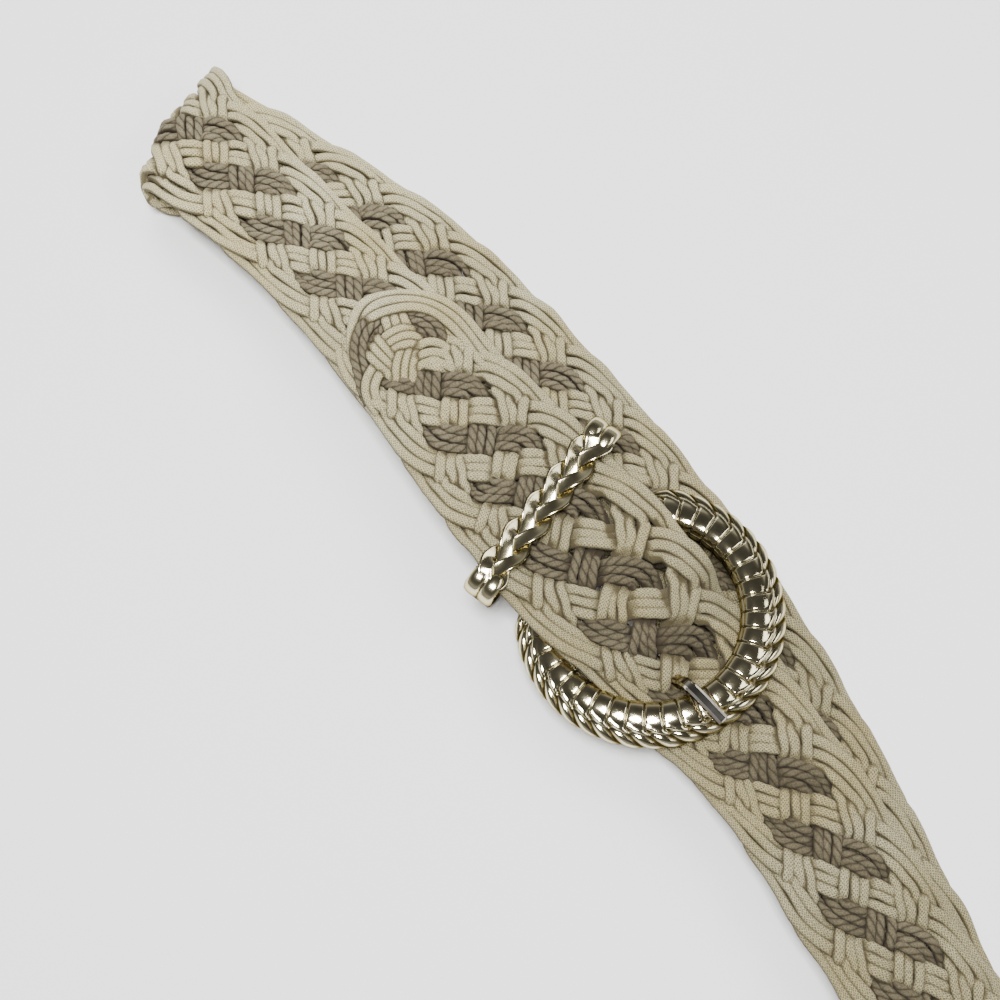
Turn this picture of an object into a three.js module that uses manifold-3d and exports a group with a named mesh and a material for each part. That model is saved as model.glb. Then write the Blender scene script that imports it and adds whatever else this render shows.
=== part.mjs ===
// A braided cotton belt with a round cast buckle, done up and lying flat on a surface.
// Millimetres, +Z up. X runs along the doubled belt from the fold beside the tip to the far
// fold, Y runs across it, and the lower layer of the strap rests on z = 0.
import * as THREE from 'three';
import { mergeVertices } from 'three/addons/utils/BufferGeometryUtils.js';
import Module from 'manifold-3d';

const wasm = await Module();
wasm.setup();

const RAD = Math.PI / 180;

// Where the middle of the belt's outline lies in the plan that the stations are measured in.
const PLAN_MIDDLE = { x: 25.63, y: 12.93 };

// Strap: a flat braid of doubled cords.
const THICKNESS = 6.4;
const HALF_THICKNESS = THICKNESS / 2;
const REST_HEIGHT = HALF_THICKNESS;
const UPPER_HEIGHT = 16;
const FOLD_RADIUS = (UPPER_HEIGHT - REST_HEIGHT) / 2;
const SCALLOP_PITCH = 13;
const SCALLOP_DEPTH = 0.8;
const STEEP = 0.12;
const TIP_LENGTH = 15;

// Buckle: a round frame whose two limbs end in a plain straight bar.
const BAR = { x: 28.4, y: 9.6, z: 14, yaw: 2, tilt: 7.5, diameter: 4.2, halfLength: 15.5 };
const RING = { outer: 38.4, inner: 25.5, height: 7.5, barOffset: 25.3 };
const BANDS_PER_TURN = 39;
const GROOVE_DEPTH = 0.55;
const EYE = { hole: 4.9, outer: 10.6, halfWidth: 13.9 };

// Prong: a squared arm on a small eye round the bar, standing through the strap.
const PRONG = { offset: -7.7, width: 3.1, halfHeight: 1.6, hole: 4.9, eyeOuter: 8.4, bevel: 0.5 };
const PRONG_CLEARANCE = 0.5;

// Keeper: a loop round both straps with a plaited front.
const KEEPER = {
  x: 12.5, y: 5.7, yaw: 12.7, halfLength: 30.8, bottom: 9.1, innerTop: 26.8,
  wall: 1.7, plaitHalfWidth: 6, plaitPitch: 10.2, relief: 1.3,
};

// Stations of the upper layer from the bar to the fold beside the tip. x, y, z is the middle
// column of the braid, yaw its heading in plan in degrees, left and right its two half widths,
// and dip how far both edges hang below the middle column.
const BUCKLE_END = [
  { x: 28.4, y: 9.6, z: 14.0, yaw: 2.0, left: 13.9, right: 13.9, dip: 0 },
  { x: 20.6, y: 9.6, z: 14.4, yaw: 2.0, left: 16.0, right: 16.0, dip: 0 },
  { x: 9.0, y: 9.7, z: 15.5, yaw: 1.5, left: 19.0, right: 18.5, dip: 0 },
  { x: -8.0, y: 9.5, z: 16.0, yaw: 1.0, left: 20.5, right: 18.5, dip: 0 },
  { x: -30.0, y: 9.1, z: 16.0, yaw: 1.6, left: 21.0, right: 18.3, dip: 0 },
  { x: -50.0, y: 8.4, z: 16.0, yaw: 2.2, left: 21.5, right: 18.0, dip: 0 },
  { x: -79.1, y: 7.2, z: 16.0, yaw: 2.8, left: 19.0, right: 17.6, dip: 0 },
  { x: -102.7, y: 5.9, z: 16.0, yaw: 3.5, left: 18.6, right: 17.4, dip: 0 },
  { x: -129.0, y: 4.6, z: 16.0, yaw: 4.0, left: 20.8, right: 17.2, dip: 0 },
];

// Lower layer, from the fold beside the tip to the far fold.
const LOWER = [
  { x: -132.0, y: 14.6, z: 3.2, yaw: 19.0, left: 19.5, right: 19.5, dip: 0 },
  { x: -96.5, y: 25.4, z: 3.2, yaw: 14.5, left: 19.5, right: 19.5, dip: 0 },
  { x: -71.3, y: 30.8, z: 3.2, yaw: 9.0, left: 19.5, right: 19.5, dip: 0 },
  { x: -32.0, y: 33.6, z: 3.2, yaw: 3.0, left: 19.5, right: 19.5, dip: 0 },
  { x: -7.3, y: 34.2, z: 3.2, yaw: 0.5, left: 19.5, right: 19.5, dip: 0 },
  { x: 26.7, y: 33.3, z: 3.2, yaw: -3.0, left: 19.5, right: 19.5, dip: 0 },
  { x: 73.8, y: 28.3, z: 3.2, yaw: -8.5, left: 19.5, right: 19.5, dip: 0 },
  { x: 99.1, y: 23.7, z: 3.2, yaw: -12.0, left: 19.5, right: 19.5, dip: 0 },
  { x: 117.0, y: 19.5, z: 3.2, yaw: -14.0, left: 19.5, right: 19.5, dip: 0 },
  { x: 150.0, y: 10.9, z: 3.2, yaw: -15.2, left: 19.5, right: 19.5, dip: 0 },
  { x: 180.0, y: 2.5, z: 3.2, yaw: -16.0, left: 19.5, right: 19.5, dip: 0 },
];

// Upper layer from the far fold under the far limb of the buckle, over the bar, through the
// keeper and on to the free tip.
const TIP_END = [
  { x: 185.0, y: -3.4, z: 16.0, yaw: -10.0, left: 19.5, right: 19.5, dip: 0 },
  { x: 165.0, y: 0.1, z: 16.0, yaw: -9.0, left: 19.5, right: 19.5, dip: 0 },
  { x: 144.7, y: 3.2, z: 16.0, yaw: -6.5, left: 19.6, right: 19.5, dip: 0 },
  { x: 133.5, y: 4.7, z: 16.0, yaw: -4.5, left: 18.8, right: 20.2, dip: 0 },
  { x: 120.4, y: 5.4, z: 15.8, yaw: -1.0, left: 17.6, right: 21.8, dip: 0 },
  { x: 106.9, y: 5.5, z: 14.8, yaw: 0.2, left: 16.8, right: 23.2, dip: 0 },
  { x: 98.0, y: 5.3, z: 14.0, yaw: 1.4, left: 16.4, right: 25.0, dip: 0 },
  { x: 90.0, y: 5.0, z: 13.4, yaw: 2.6, left: 16.6, right: 27.0, dip: 0.2 },
  { x: 84.0, y: 4.7, z: 13.0, yaw: 3.4, left: 17.0, right: 28.0, dip: 0.4 },
  { x: 80.0, y: 4.4, z: 13.1, yaw: 4.2, left: 17.2, right: 29.0, dip: 1.6 },
  { x: 75.0, y: 4.0, z: 14.8, yaw: 5.5, left: 17.0, right: 30.0, dip: 4.0 },
  { x: 70.0, y: 3.4, z: 17.2, yaw: 7.0, left: 16.6, right: 30.6, dip: 6.8 },
  { x: 64.0, y: 2.7, z: 19.4, yaw: 5.0, left: 14.5, right: 31.2, dip: 7.2 },
  { x: 58.0, y: 2.3, z: 21.6, yaw: 2.0, left: 14.4, right: 32.0, dip: 5.0 },
  { x: 52.0, y: 2.2, z: 23.4, yaw: 0.0, left: 15.2, right: 32.4, dip: 1.4 },
  { x: 46.0, y: 2.2, z: 23.8, yaw: -1.5, left: 19.8, right: 32.5, dip: 0.3 },
  { x: 33.3, y: 2.8, z: 23.3, yaw: -5.0, left: 22.2, right: 32.3, dip: 0 },
  { x: 20.0, y: 4.4, z: 23.1, yaw: -6.5, left: 24.0, right: 29.4, dip: 0 },
  { x: 5.5, y: 6.0, z: 23.1, yaw: -4.0, left: 24.9, right: 25.4, dip: 0 },
  { x: -14.9, y: 5.5, z: 23.1, yaw: 2.0, left: 22.9, right: 23.9, dip: 0 },
  { x: -37.9, y: 4.4, z: 23.1, yaw: 1.5, left: 18.6, right: 22.6, dip: 0 },
  { x: -50.0, y: 4.6, z: 23.0, yaw: -2.5, left: 17.8, right: 19.0, dip: 0 },
  { x: -60.0, y: 5.3, z: 22.8, yaw: -5.0, left: 17.2, right: 17.2, dip: 0 },
  { x: -69.0, y: 6.1, z: 22.6, yaw: -5.0, left: 17.0, right: 17.0, dip: 0 },
];

// The half turn of the strap at one end of the loop, as five stations between two headings.
function foldStations({ from, to, side }) {
  const stations = [];
  const steps = 4;
  for (let step = 0; step <= steps; step += 1) {
    const share = step / steps;
    const turn = share * Math.PI;
    const yaw = from.yaw + (to.yaw - from.yaw) * share;
    const reach = side * FOLD_RADIUS * Math.sin(turn);
    const height = (from.z + to.z) / 2 + ((from.z - to.z) / 2) * Math.cos(turn);
    const bulge = Math.sin(turn);
    stations.push({
      x: from.x + (to.x - from.x) * share + reach * Math.cos(yaw * RAD),
      y: from.y + (to.y - from.y) * share + reach * Math.sin(yaw * RAD),
      z: height,
      yaw,
      left: from.left + (to.left - from.left) * share + from.flare.left * bulge,
      right: from.right + (to.right - from.right) * share + from.flare.right * bulge,
      dip: 0,
    });
  }
  return stations;
}

const TIP_SIDE_FOLD = foldStations({
  from: {
    x: -154.4, y: 2.6, z: UPPER_HEIGHT, yaw: 6, left: 21.8, right: 18, flare: { left: 2.6, right: 2.4 },
  },
  to: { x: -154.4, y: 6.4, z: REST_HEIGHT, yaw: 21, left: 20.5, right: 19.5 },
  side: -1,
});

const FAR_FOLD = foldStations({
  from: {
    x: 206, y: -5.0, z: REST_HEIGHT, yaw: -16.5, left: 19.5, right: 19.5, flare: { left: 1, right: 1 },
  },
  to: { x: 206, y: -7.2, z: UPPER_HEIGHT, yaw: -11, left: 19.5, right: 19.5 },
  side: 1,
});

const STATIONS = [...BUCKLE_END, ...TIP_SIDE_FOLD, ...LOWER, ...FAR_FOLD, ...TIP_END];

// Straight interpolation of one column of the stations, at a share between two of them.
function blend(index, share, column) {
  const next = Math.min(index + 1, STATIONS.length - 1);
  return STATIONS[index][column] * (1 - share) + STATIONS[next][column] * share;
}

// Points at even steps along the strap, each with its heading, half widths and dip. Every
// other point is left out where the strap runs nearly level.
function sampleStrap(step) {
  const spots = STATIONS.map(({ x, y, z }) => new THREE.Vector3(x, y, z));
  const curve = new THREE.CatmullRomCurve3(spots, false, 'centripetal');
  curve.arcLengthDivisions = 4000;
  const length = curve.getLength();
  const count = 2 * Math.round(length / (2 * step));
  const samples = [];
  for (let i = 0; i <= count; i += 1) {
    const t = curve.getUtoTmapping(i / count);
    const tangent = curve.getTangent(t);
    if (i % 2 === 1 && Math.abs(tangent.z) < STEEP) continue;
    const at = t * (STATIONS.length - 1);
    const index = Math.min(Math.floor(at), STATIONS.length - 2);
    const share = at - index;
    const point = curve.getPoint(t);
    point.z = Math.max(point.z, REST_HEIGHT);
    samples.push({
      along: (i / count) * length,
      point,
      tangent,
      yaw: blend(index, share, 'yaw'),
      left: blend(index, share, 'left'),
      right: blend(index, share, 'right'),
      dip: blend(index, share, 'dip'),
    });
  }
  return { samples, length };
}

// A closed surface through rings of points. Rings join end to end when `closed` is true,
// or else each end is shut by a fan of triangles.
function loft(rings, closed) {
  const perRing = rings[0].length;
  const positions = [];
  const faces = [];
  for (const ring of rings) {
    for (const p of ring) positions.push(p.x, p.y, p.z);
  }
  const joins = closed ? rings.length : rings.length - 1;
  for (let r = 0; r < joins; r += 1) {
    const here = r * perRing;
    const there = ((r + 1) % rings.length) * perRing;
    for (let k = 0; k < perRing; k += 1) {
      const next = (k + 1) % perRing;
      faces.push(here + k, here + next, there + next);
      faces.push(here + k, there + next, there + k);
    }
  }
  if (!closed) {
    const ends = [{ ring: 0, flip: true }, { ring: rings.length - 1, flip: false }];
    for (const end of ends) {
      const middle = new THREE.Vector3();
      for (const p of rings[end.ring]) middle.addScaledVector(p, 1 / perRing);
      const hub = positions.length / 3;
      positions.push(middle.x, middle.y, middle.z);
      for (let k = 0; k < perRing; k += 1) {
        const a = end.ring * perRing + k;
        const b = end.ring * perRing + ((k + 1) % perRing);
        faces.push(hub, end.flip ? b : a, end.flip ? a : b);
      }
    }
  }
  const geometry = new THREE.BufferGeometry();
  geometry.setAttribute('position', new THREE.Float32BufferAttribute(positions, 3));
  geometry.setIndex(faces);
  return geometry;
}

// Signed volume by the divergence sum: negative when the faces point inwards.
function signedVolume(geometry) {
  const p = geometry.getAttribute('position');
  const index = geometry.getIndex();
  const a = new THREE.Vector3();
  const b = new THREE.Vector3();
  const c = new THREE.Vector3();
  let sum = 0;
  for (let i = 0; i < index.count; i += 3) {
    a.fromBufferAttribute(p, index.getX(i));
    b.fromBufferAttribute(p, index.getX(i + 1));
    c.fromBufferAttribute(p, index.getX(i + 2));
    sum += a.dot(b.cross(c)) / 6;
  }
  return sum;
}

function facingOut(geometry) {
  if (signedVolume(geometry) < 0) {
    const index = geometry.getIndex().array;
    for (let i = 0; i < index.length; i += 3) {
      const kept = index[i + 1];
      index[i + 1] = index[i + 2];
      index[i + 2] = kept;
    }
  }
  return geometry;
}

function solidOf(geometry) {
  const bare = geometry.clone();
  bare.deleteAttribute('normal');
  bare.deleteAttribute('uv');
  const merged = facingOut(mergeVertices(bare, 1e-4));
  return new wasm.Manifold(new wasm.Mesh({
    numProp: 3,
    vertProperties: new Float32Array(merged.getAttribute('position').array),
    triVerts: new Uint32Array(merged.getIndex().array),
  }));
}

function geometryOf(solid) {
  const mesh = solid.getMesh();
  const geometry = new THREE.BufferGeometry();
  geometry.setAttribute('position', new THREE.BufferAttribute(new Float32Array(mesh.vertProperties), 3));
  geometry.setIndex(new THREE.BufferAttribute(new Uint32Array(mesh.triVerts), 1));
  geometry.computeVertexNormals();
  return geometry;
}

// The band's cross-section: shares of the half width and of the half thickness.
const SECTION = [
  [-1, -0.42], [-0.86, -1], [-0.4, -1], [0.4, -1], [0.86, -1], [1, -0.42],
  [1, 0.42], [0.86, 1], [0.4, 1], [-0.4, 1], [-0.86, 1], [-1, 0.42],
];

function strapRing(sample, length) {
  const heading = sample.yaw * RAD;
  const across = new THREE.Vector3(-Math.sin(heading), Math.cos(heading), 0);
  across.addScaledVector(sample.tangent, -across.dot(sample.tangent)).normalize();
  const outer = new THREE.Vector3().crossVectors(across, sample.tangent);
  const toTip = (length - sample.along) / TIP_LENGTH;
  const taper = toTip < 1 ? Math.sqrt(Math.max(0.02, 1 - (1 - toTip) ** 2)) : 1;
  const scallop = Math.cos((2 * Math.PI * sample.along) / SCALLOP_PITCH);
  return SECTION.map(([side, level]) => {
    const half = (side < 0 ? sample.left : sample.right) * taper;
    const swell = Math.abs(side) === 1 ? Math.sign(side) * SCALLOP_DEPTH * taper : 0;
    const wave = swell * (side < 0 ? scallop : -scallop);
    const drop = -sample.dip * side * side;
    const spot = sample.point.clone()
      .addScaledVector(across, side * half + wave)
      .addScaledVector(outer, level * HALF_THICKNESS + drop);
    spot.z = Math.max(spot.z, 0);
    return spot;
  });
}

// Moves a geometry made round the bar's middle, with X away from the bar, to where the bar is.
function placeAtBar(geometry, tilt) {
  geometry.rotateY(-tilt * RAD);
  geometry.rotateZ(BAR.yaw * RAD);
  geometry.translate(BAR.x, BAR.y, BAR.z);
  return geometry;
}

function rodAlongY(diameter, from, to, sides) {
  const rod = new THREE.CylinderGeometry(diameter / 2, diameter / 2, to - from, sides);
  rod.translate(0, (from + to) / 2, 0);
  return rod;
}

// Centre line of the prong's arm, seen from the side: away from the bar, and above it.
const PRONG_LINE = [
  [0, 0], [12, 0.3], [25, 0.8], [36, 1.8], [40, 3.2], [44, 6.2], [48, 10.5], [51.5, 13.2], [55.5, 14.1],
  [61.0, 14.2],
];

function prongGeometry(grow) {
  const line = PRONG_LINE.map(([x, z]) => new THREE.Vector2(x, z));
  const half = PRONG.halfHeight + grow;
  const upper = [];
  const lower = [];
  line.forEach((spot, i) => {
    const before = line[Math.max(i - 1, 0)];
    const after = line[Math.min(i + 1, line.length - 1)];
    const run = after.clone().sub(before).normalize();
    const up = new THREE.Vector2(-run.y, run.x);
    upper.push(spot.clone().addScaledVector(up, half));
    lower.push(spot.clone().addScaledVector(up, -half));
  });
  const tip = line[line.length - 1].clone().add(new THREE.Vector2(grow, 0));
  upper[upper.length - 1].x = tip.x;
  lower[lower.length - 1].x = tip.x;
  const eyeRadius = PRONG.eyeOuter / 2 + grow;
  const opening = Math.asin(half / eyeRadius);
  const outline = new THREE.Shape();
  outline.absarc(0, 0, eyeRadius, opening, 2 * Math.PI - opening, false);
  for (const spot of lower.slice(1)) outline.lineTo(spot.x, spot.y);
  for (const spot of upper.slice(1).reverse()) outline.lineTo(spot.x, spot.y);
  outline.closePath();
  if (grow === 0) {
    const hole = new THREE.Path();
    hole.absarc(0, 0, PRONG.hole / 2 + PRONG.bevel, 0, 2 * Math.PI, true);
    outline.holes.push(hole);
  }
  const bevel = grow === 0 ? PRONG.bevel : 0;
  const geometry = new THREE.ExtrudeGeometry(outline, {
    depth: PRONG.width + 2 * grow - 2 * bevel,
    curveSegments: 8,
    bevelEnabled: bevel > 0,
    bevelThickness: bevel,
    bevelSize: bevel,
    bevelOffset: -bevel,
    bevelSegments: 1,
  });
  geometry.rotateX(Math.PI / 2);
  geometry.translate(0, PRONG.offset + PRONG.width / 2 + grow - bevel, 0);
  return placeAtBar(geometry, 0);
}

function strapGeometry() {
  const { samples, length } = sampleStrap(SCALLOP_PITCH / 4);
  const rings = samples.map((sample) => strapRing(sample, length));
  const eye = rodAlongY(EYE.outer, -EYE.halfWidth, EYE.halfWidth, 16);
  const hole = rodAlongY(EYE.hole, -EYE.halfWidth - 4, EYE.halfWidth + 4, 16);
  const notch = new THREE.BoxGeometry(13, PRONG.width + 1.4, 13);
  notch.translate(1.2, PRONG.offset, 0);
  const body = solidOf(loft(rings, false)).add(solidOf(placeAtBar(eye, 0)));
  const cut = body
    .subtract(solidOf(placeAtBar(hole, 0)))
    .subtract(solidOf(placeAtBar(notch, 0)))
    .subtract(solidOf(prongGeometry(PRONG_CLEARANCE)));
  return geometryOf(cut);
}

// How far the grooves of the bands lean along the frame at one angle of the cross-section:
// they run straight over the top and slant round the outer flank, as twisted strands do.
function lean(angle) {
  const flank = (60 - angle) / 100;
  return THREE.MathUtils.clamp(flank, 0, 1);
}

function frameRing({ x, y, facing, halfWidth, halfHeight, groove, start, bandAngle }) {
  const sides = 12;
  const ring = [];
  for (let k = 0; k < sides; k += 1) {
    const angle = (k * 360) / sides;
    const cosine = Math.cos(angle * RAD);
    const sine = Math.sin(angle * RAD);
    const signedAngle = angle > 180 ? angle - 360 : angle;
    const onFace = signedAngle > -75 && signedAngle < 165;
    const depth = onFace ? groove : 0;
    const out = Math.sign(cosine) * Math.abs(cosine) ** 0.85 * (halfWidth - depth);
    const up = Math.sign(sine) * Math.abs(sine) ** 0.85 * (halfHeight - depth);
    const slant = onFace ? lean(signedAngle) * bandAngle * start : 0;
    const direction = (facing + slant) * RAD;
    const centre = new THREE.Vector2(x, y).rotateAround(new THREE.Vector2(0, 0), slant * RAD);
    ring.push(new THREE.Vector3(
      centre.x + Math.cos(direction) * out,
      centre.y + Math.sin(direction) * out,
      up,
    ));
  }
  return ring;
}

function buckleFrameGeometry() {
  const halfWidth = (RING.outer - RING.inner) / 2;
  const halfHeight = RING.height / 2;
  const middle = (RING.outer + RING.inner) / 2;
  const limbEnd = 180 - Math.acos(RING.barOffset / middle) / RAD;
  const bandAngle = 360 / BANDS_PER_TURN;
  const bands = Math.floor(limbEnd / bandAngle);
  const taperFrom = limbEnd - 14;
  const rings = [];
  const bandSteps = [{ at: 0, groove: GROOVE_DEPTH }, { at: 0.22, groove: 0.05 }, { at: 0.7, groove: 0 }];
  for (let band = -bands; band < bands; band += 1) {
    for (const { at, groove } of bandSteps) {
      const theta = (band + at) * bandAngle;
      const fade = THREE.MathUtils.clamp((Math.abs(theta) - taperFrom) / (limbEnd - taperFrom), 0, 1);
      rings.push(frameRing({
        x: Math.cos(theta * RAD) * middle,
        y: Math.sin(theta * RAD) * middle,
        facing: theta,
        halfWidth: halfWidth + (3.2 - halfWidth) * fade,
        halfHeight: halfHeight + (2.8 - halfHeight) * fade,
        groove: groove * (1 - fade),
        start: 1 - fade,
        bandAngle,
      }));
    }
  }
  const radius = BAR.diameter / 2;
  const limbAngle = bands * bandAngle;
  const corner = 3.4;
  const plain = { groove: 0, start: 0, bandAngle };
  rings.push(frameRing({
    x: Math.cos(limbAngle * RAD) * middle, y: Math.sin(limbAngle * RAD) * middle,
    facing: limbAngle, halfWidth: 3.2, halfHeight: 2.8, ...plain,
  }));
  const barStops = [
    { y: BAR.halfLength + corner / 3, facing: 165, size: radius + 0.5 },
    { y: BAR.halfLength, facing: 180, size: radius },
    { y: -BAR.halfLength, facing: 180, size: radius },
    { y: -BAR.halfLength - corner / 3, facing: 195, size: radius + 0.5 },
  ];
  for (const { y, facing, size } of barStops) {
    rings.push(frameRing({
      x: -RING.barOffset, y, facing, halfWidth: size, halfHeight: size, ...plain,
    }));
  }
  const geometry = loft(rings, true);
  geometry.translate(RING.barOffset, 0, 0);
  return geometryOf(solidOf(placeAtBar(geometry, BAR.tilt)));
}

// Height of the plaited relief at u along the keeper and v across it (-1 to 1): ribbons that
// lie like fish bones, with the two rows half a step apart.
function plaitHeight(u, v) {
  const row = v < 0 ? 0 : 0.5;
  const phase = u / KEEPER.plaitPitch + row - 0.55 * Math.abs(v);
  const share = phase - Math.floor(phase);
  const crest = Math.sin(Math.PI * Math.min(1, share * 1.15));
  return KEEPER.relief * (0.25 + 0.75 * crest);
}

// Where the plait's edge lies, as a share of its half width: each ribbon's turn bulges out.
function plaitEdge(u, side) {
  const row = side < 0 ? 0 : 0.5;
  const phase = u / KEEPER.plaitPitch + row - 0.55;
  return 0.9 + 0.1 * Math.sin(2 * Math.PI * (phase - 0.25));
}

function keeperGeometry() {
  const outerShares = [-1, -0.66, -0.33, 0.33, 0.66, 1];
  const rings = [];
  const addRing = (middle, normal, halfWidth, half, relief, u) => {
    const place = (share, level) => new THREE.Vector3(
      share * halfWidth * (relief > 0 && Math.abs(share) === 1 ? plaitEdge(u, share) : 1),
      middle.x + normal.x * level,
      middle.y + normal.y * level,
    );
    const outside = outerShares.map((share) => place(
      share,
      half + relief * plaitHeight(u, share) * (Math.abs(share) === 1 ? 0.15 : 1),
    ));
    const inside = [place(1, -half), place(-1, -half)];
    rings.push([...outside, ...inside]);
  };
  const half = KEEPER.wall / 2;
  const side = KEEPER.halfLength - half - 0.4;
  const top = KEEPER.innerTop + half;
  const bottom = KEEPER.bottom + half;
  const cornerRadius = 3;
  const topRun = side - cornerRadius;
  const steps = 36;
  for (let i = 0; i <= steps; i += 1) {
    const u = -topRun + (2 * topRun * i) / steps;
    addRing(new THREE.Vector2(u, top), new THREE.Vector2(0, 1), KEEPER.plaitHalfWidth, half, 1, u + 100);
  }
  const corners = [
    { x: side - cornerRadius, z: top - cornerRadius, from: 90, widths: [1, 0.92, 0.75, 0.6] },
    { x: side - cornerRadius, z: bottom + cornerRadius, from: 0, widths: [0.6, 0.6, 0.6, 0.6] },
    { x: -side + cornerRadius, z: bottom + cornerRadius, from: -90, widths: [0.6, 0.6, 0.6, 0.6] },
    { x: -side + cornerRadius, z: top - cornerRadius, from: -180, widths: [0.6, 0.75, 0.92, 1] },
  ];
  corners.forEach((corner, c) => {
    corner.widths.forEach((width, i) => {
      const skipped = (c === 0 && i === 0) || (c === 3 && i === 3);
      if (skipped) return;
      const angle = (corner.from - i * 30) * RAD;
      const normal = new THREE.Vector2(Math.cos(angle), Math.sin(angle));
      const middle = new THREE.Vector2(corner.x, corner.z).addScaledVector(normal, cornerRadius);
      addRing(middle, normal, KEEPER.plaitHalfWidth * width, half, 0, 0);
    });
  });
  const geometry = loft(rings, true);
  geometry.rotateZ(KEEPER.yaw * RAD);
  geometry.translate(KEEPER.x, KEEPER.y, 0);
  return geometryOf(solidOf(geometry));
}

const cotton = new THREE.MeshStandardMaterial({ color: 0xe6dcc4, roughness: 0.92, metalness: 0 });
const paleGold = new THREE.MeshStandardMaterial({ color: 0xcdbf97, roughness: 0.28, metalness: 1 });
const polished = new THREE.MeshStandardMaterial({ color: 0xd2cdbd, roughness: 0.18, metalness: 1 });

function piece(name, geometry, material) {
  const mesh = new THREE.Mesh(geometry, material);
  mesh.name = name;
  return mesh;
}

const belt = new THREE.Group();
belt.add(
  piece('braided_strap', strapGeometry(), cotton),
  piece('buckle_frame', buckleFrameGeometry(), paleGold),
  piece('prong', geometryOf(solidOf(prongGeometry(0))), polished),
  piece('keeper', keeperGeometry(), paleGold),
);
belt.position.set(-PLAN_MIDDLE.x, -PLAN_MIDDLE.y, 0);

export default belt;
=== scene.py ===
import math

import bpy
import numpy as np
from mathutils import Matrix, Vector


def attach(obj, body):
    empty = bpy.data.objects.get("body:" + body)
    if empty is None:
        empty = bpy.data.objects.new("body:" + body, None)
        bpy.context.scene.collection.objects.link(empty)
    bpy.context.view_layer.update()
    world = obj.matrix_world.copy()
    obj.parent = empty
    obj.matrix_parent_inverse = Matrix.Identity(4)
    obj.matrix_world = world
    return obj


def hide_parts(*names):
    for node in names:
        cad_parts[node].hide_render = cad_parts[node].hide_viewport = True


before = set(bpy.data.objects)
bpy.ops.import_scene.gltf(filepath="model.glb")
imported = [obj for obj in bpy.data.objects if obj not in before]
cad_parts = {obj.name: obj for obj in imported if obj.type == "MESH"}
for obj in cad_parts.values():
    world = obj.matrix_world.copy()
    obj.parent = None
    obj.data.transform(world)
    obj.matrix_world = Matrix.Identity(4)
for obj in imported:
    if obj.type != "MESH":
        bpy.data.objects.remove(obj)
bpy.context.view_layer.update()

MM = 0.001
UP = np.array([0.0, 0.0, 1.0])

# Where the middle of the belt's outline lies in the plan that the stations are measured in.
PLAN_MIDDLE = np.array([25.63, 12.93, 0.0])

# Strap.
HALF_THICKNESS = 3.2
REST_HEIGHT = 3.2
UPPER_HEIGHT = 16.0
FOLD_RADIUS = (UPPER_HEIGHT - REST_HEIGHT) / 2
TIP_LENGTH = 15.0
LEFT_DIP = 0.4
SAMPLES_PER_STATION = 24

# Braid: eight strands of three cords. A strand's cords lie side by side.
UNIT = 13.0
STEPS_PER_UNIT = 10
GRID_STEP = UNIT / STEPS_PER_UNIT
CORDS = 3
CORD_DIAMETER = 2.9
CORD_PITCH = 2.75
CORD_SIDES = 14
CORD_SECTION = {"half_width": 1.52, "half_height": 1.4, "squareness": 2.6}
PLIES = 3
PLY_PITCH = 8.6
ROPE_SIDES = 15
ROPE_LOBE = {"least": 0.80, "rise": 0.26}
CLEAR_REACH = 5.0
CREAM_SWING = (17.9, 1.7)
TAUPE_SWING = 7.7
BRAID_HALF_WIDTH = 20.2
CROSSING_HEIGHT = 1.55
MOST_SHIFT = 0.45
PLATEAU = 1.4

# The two kinds of strand: how many there are, the units in their period, how many units late the
# first one starts, their slope where they meet the other kind, the sides of a cord, and where they
# pass over (+1) or under (-1), by the unit. They meet the other kind at the halves.
CREAM, TAUPE = 0, 1
STRAND_KINDS = [
    {
        "strands": 6, "units": 12, "late": 1, "slope": 0.95, "sides": CORD_SIDES,
        "over": {0: -1, 0.5: 1, 1: -1, 2: 1, 4: -1, 5: 1, 5.5: -1, 6: 1, 6.5: -1, 7: 1, 8: -1, 10: 1,
                 11: -1, 11.5: 1},
    },
    {
        "strands": 2, "units": 4, "late": 0, "slope": 0.66, "sides": ROPE_SIDES,
        "over": {0: -1, 0.5: 1, 1.5: -1, 2: 1, 2.5: -1, 3.5: 1},
    },
]

# How the cords settle: what share of an overlap pushes them apart, the most that they move in a
# step, how firmly they keep to the edge and to their own places, and how much each step smooths.
SETTLE = {
    "steps": 120, "reach": 2, "lead": 0.9, "push_up": 0.10, "push_aside": 0.12, "most_up": 0.2,
    "most_aside": 0.25, "edge": 0.5, "home_up": 0.12, "home_aside": 0.03, "smooth_up": 0.03,
    "smooth_aside": 0.08, "slack": 0.3,
}

# Buckle.
BAR = {"x": 28.4, "y": 9.6, "z": 14.0, "yaw": 2.0, "tilt": 7.5, "diameter": 4.2, "half_length": 15.5}
RING = {"bar_offset": 25.3, "middle": 32.0}
BANDS_PER_TURN = 39
PRONG = {
    "offset": -7.7, "width": 3.1, "half_height": 1.6, "hole": 4.9, "eye_outer": 8.4, "bevel": 0.55,
    "soft": 0.12, "tip_size": 0.86, "tip_reach": 0.25, "crease": 40,
}
PRONG_LINE = np.array([
    (0, 0), (12, 0.3), (25, 0.8), (36, 1.6), (41, 1.9), (43.4, 3.2), (45.2, 6.4), (46.6, 10.6), (49.2, 13.2),
    (55.5, 14.1), (61.0, 14.2),
])
KEEPER = {
    "x": 12.5, "y": 5.7, "yaw": 12.7, "half_length": 30.8, "bottom": 9.1, "inner_top": 26.8, "wall": 1.7,
}


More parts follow.
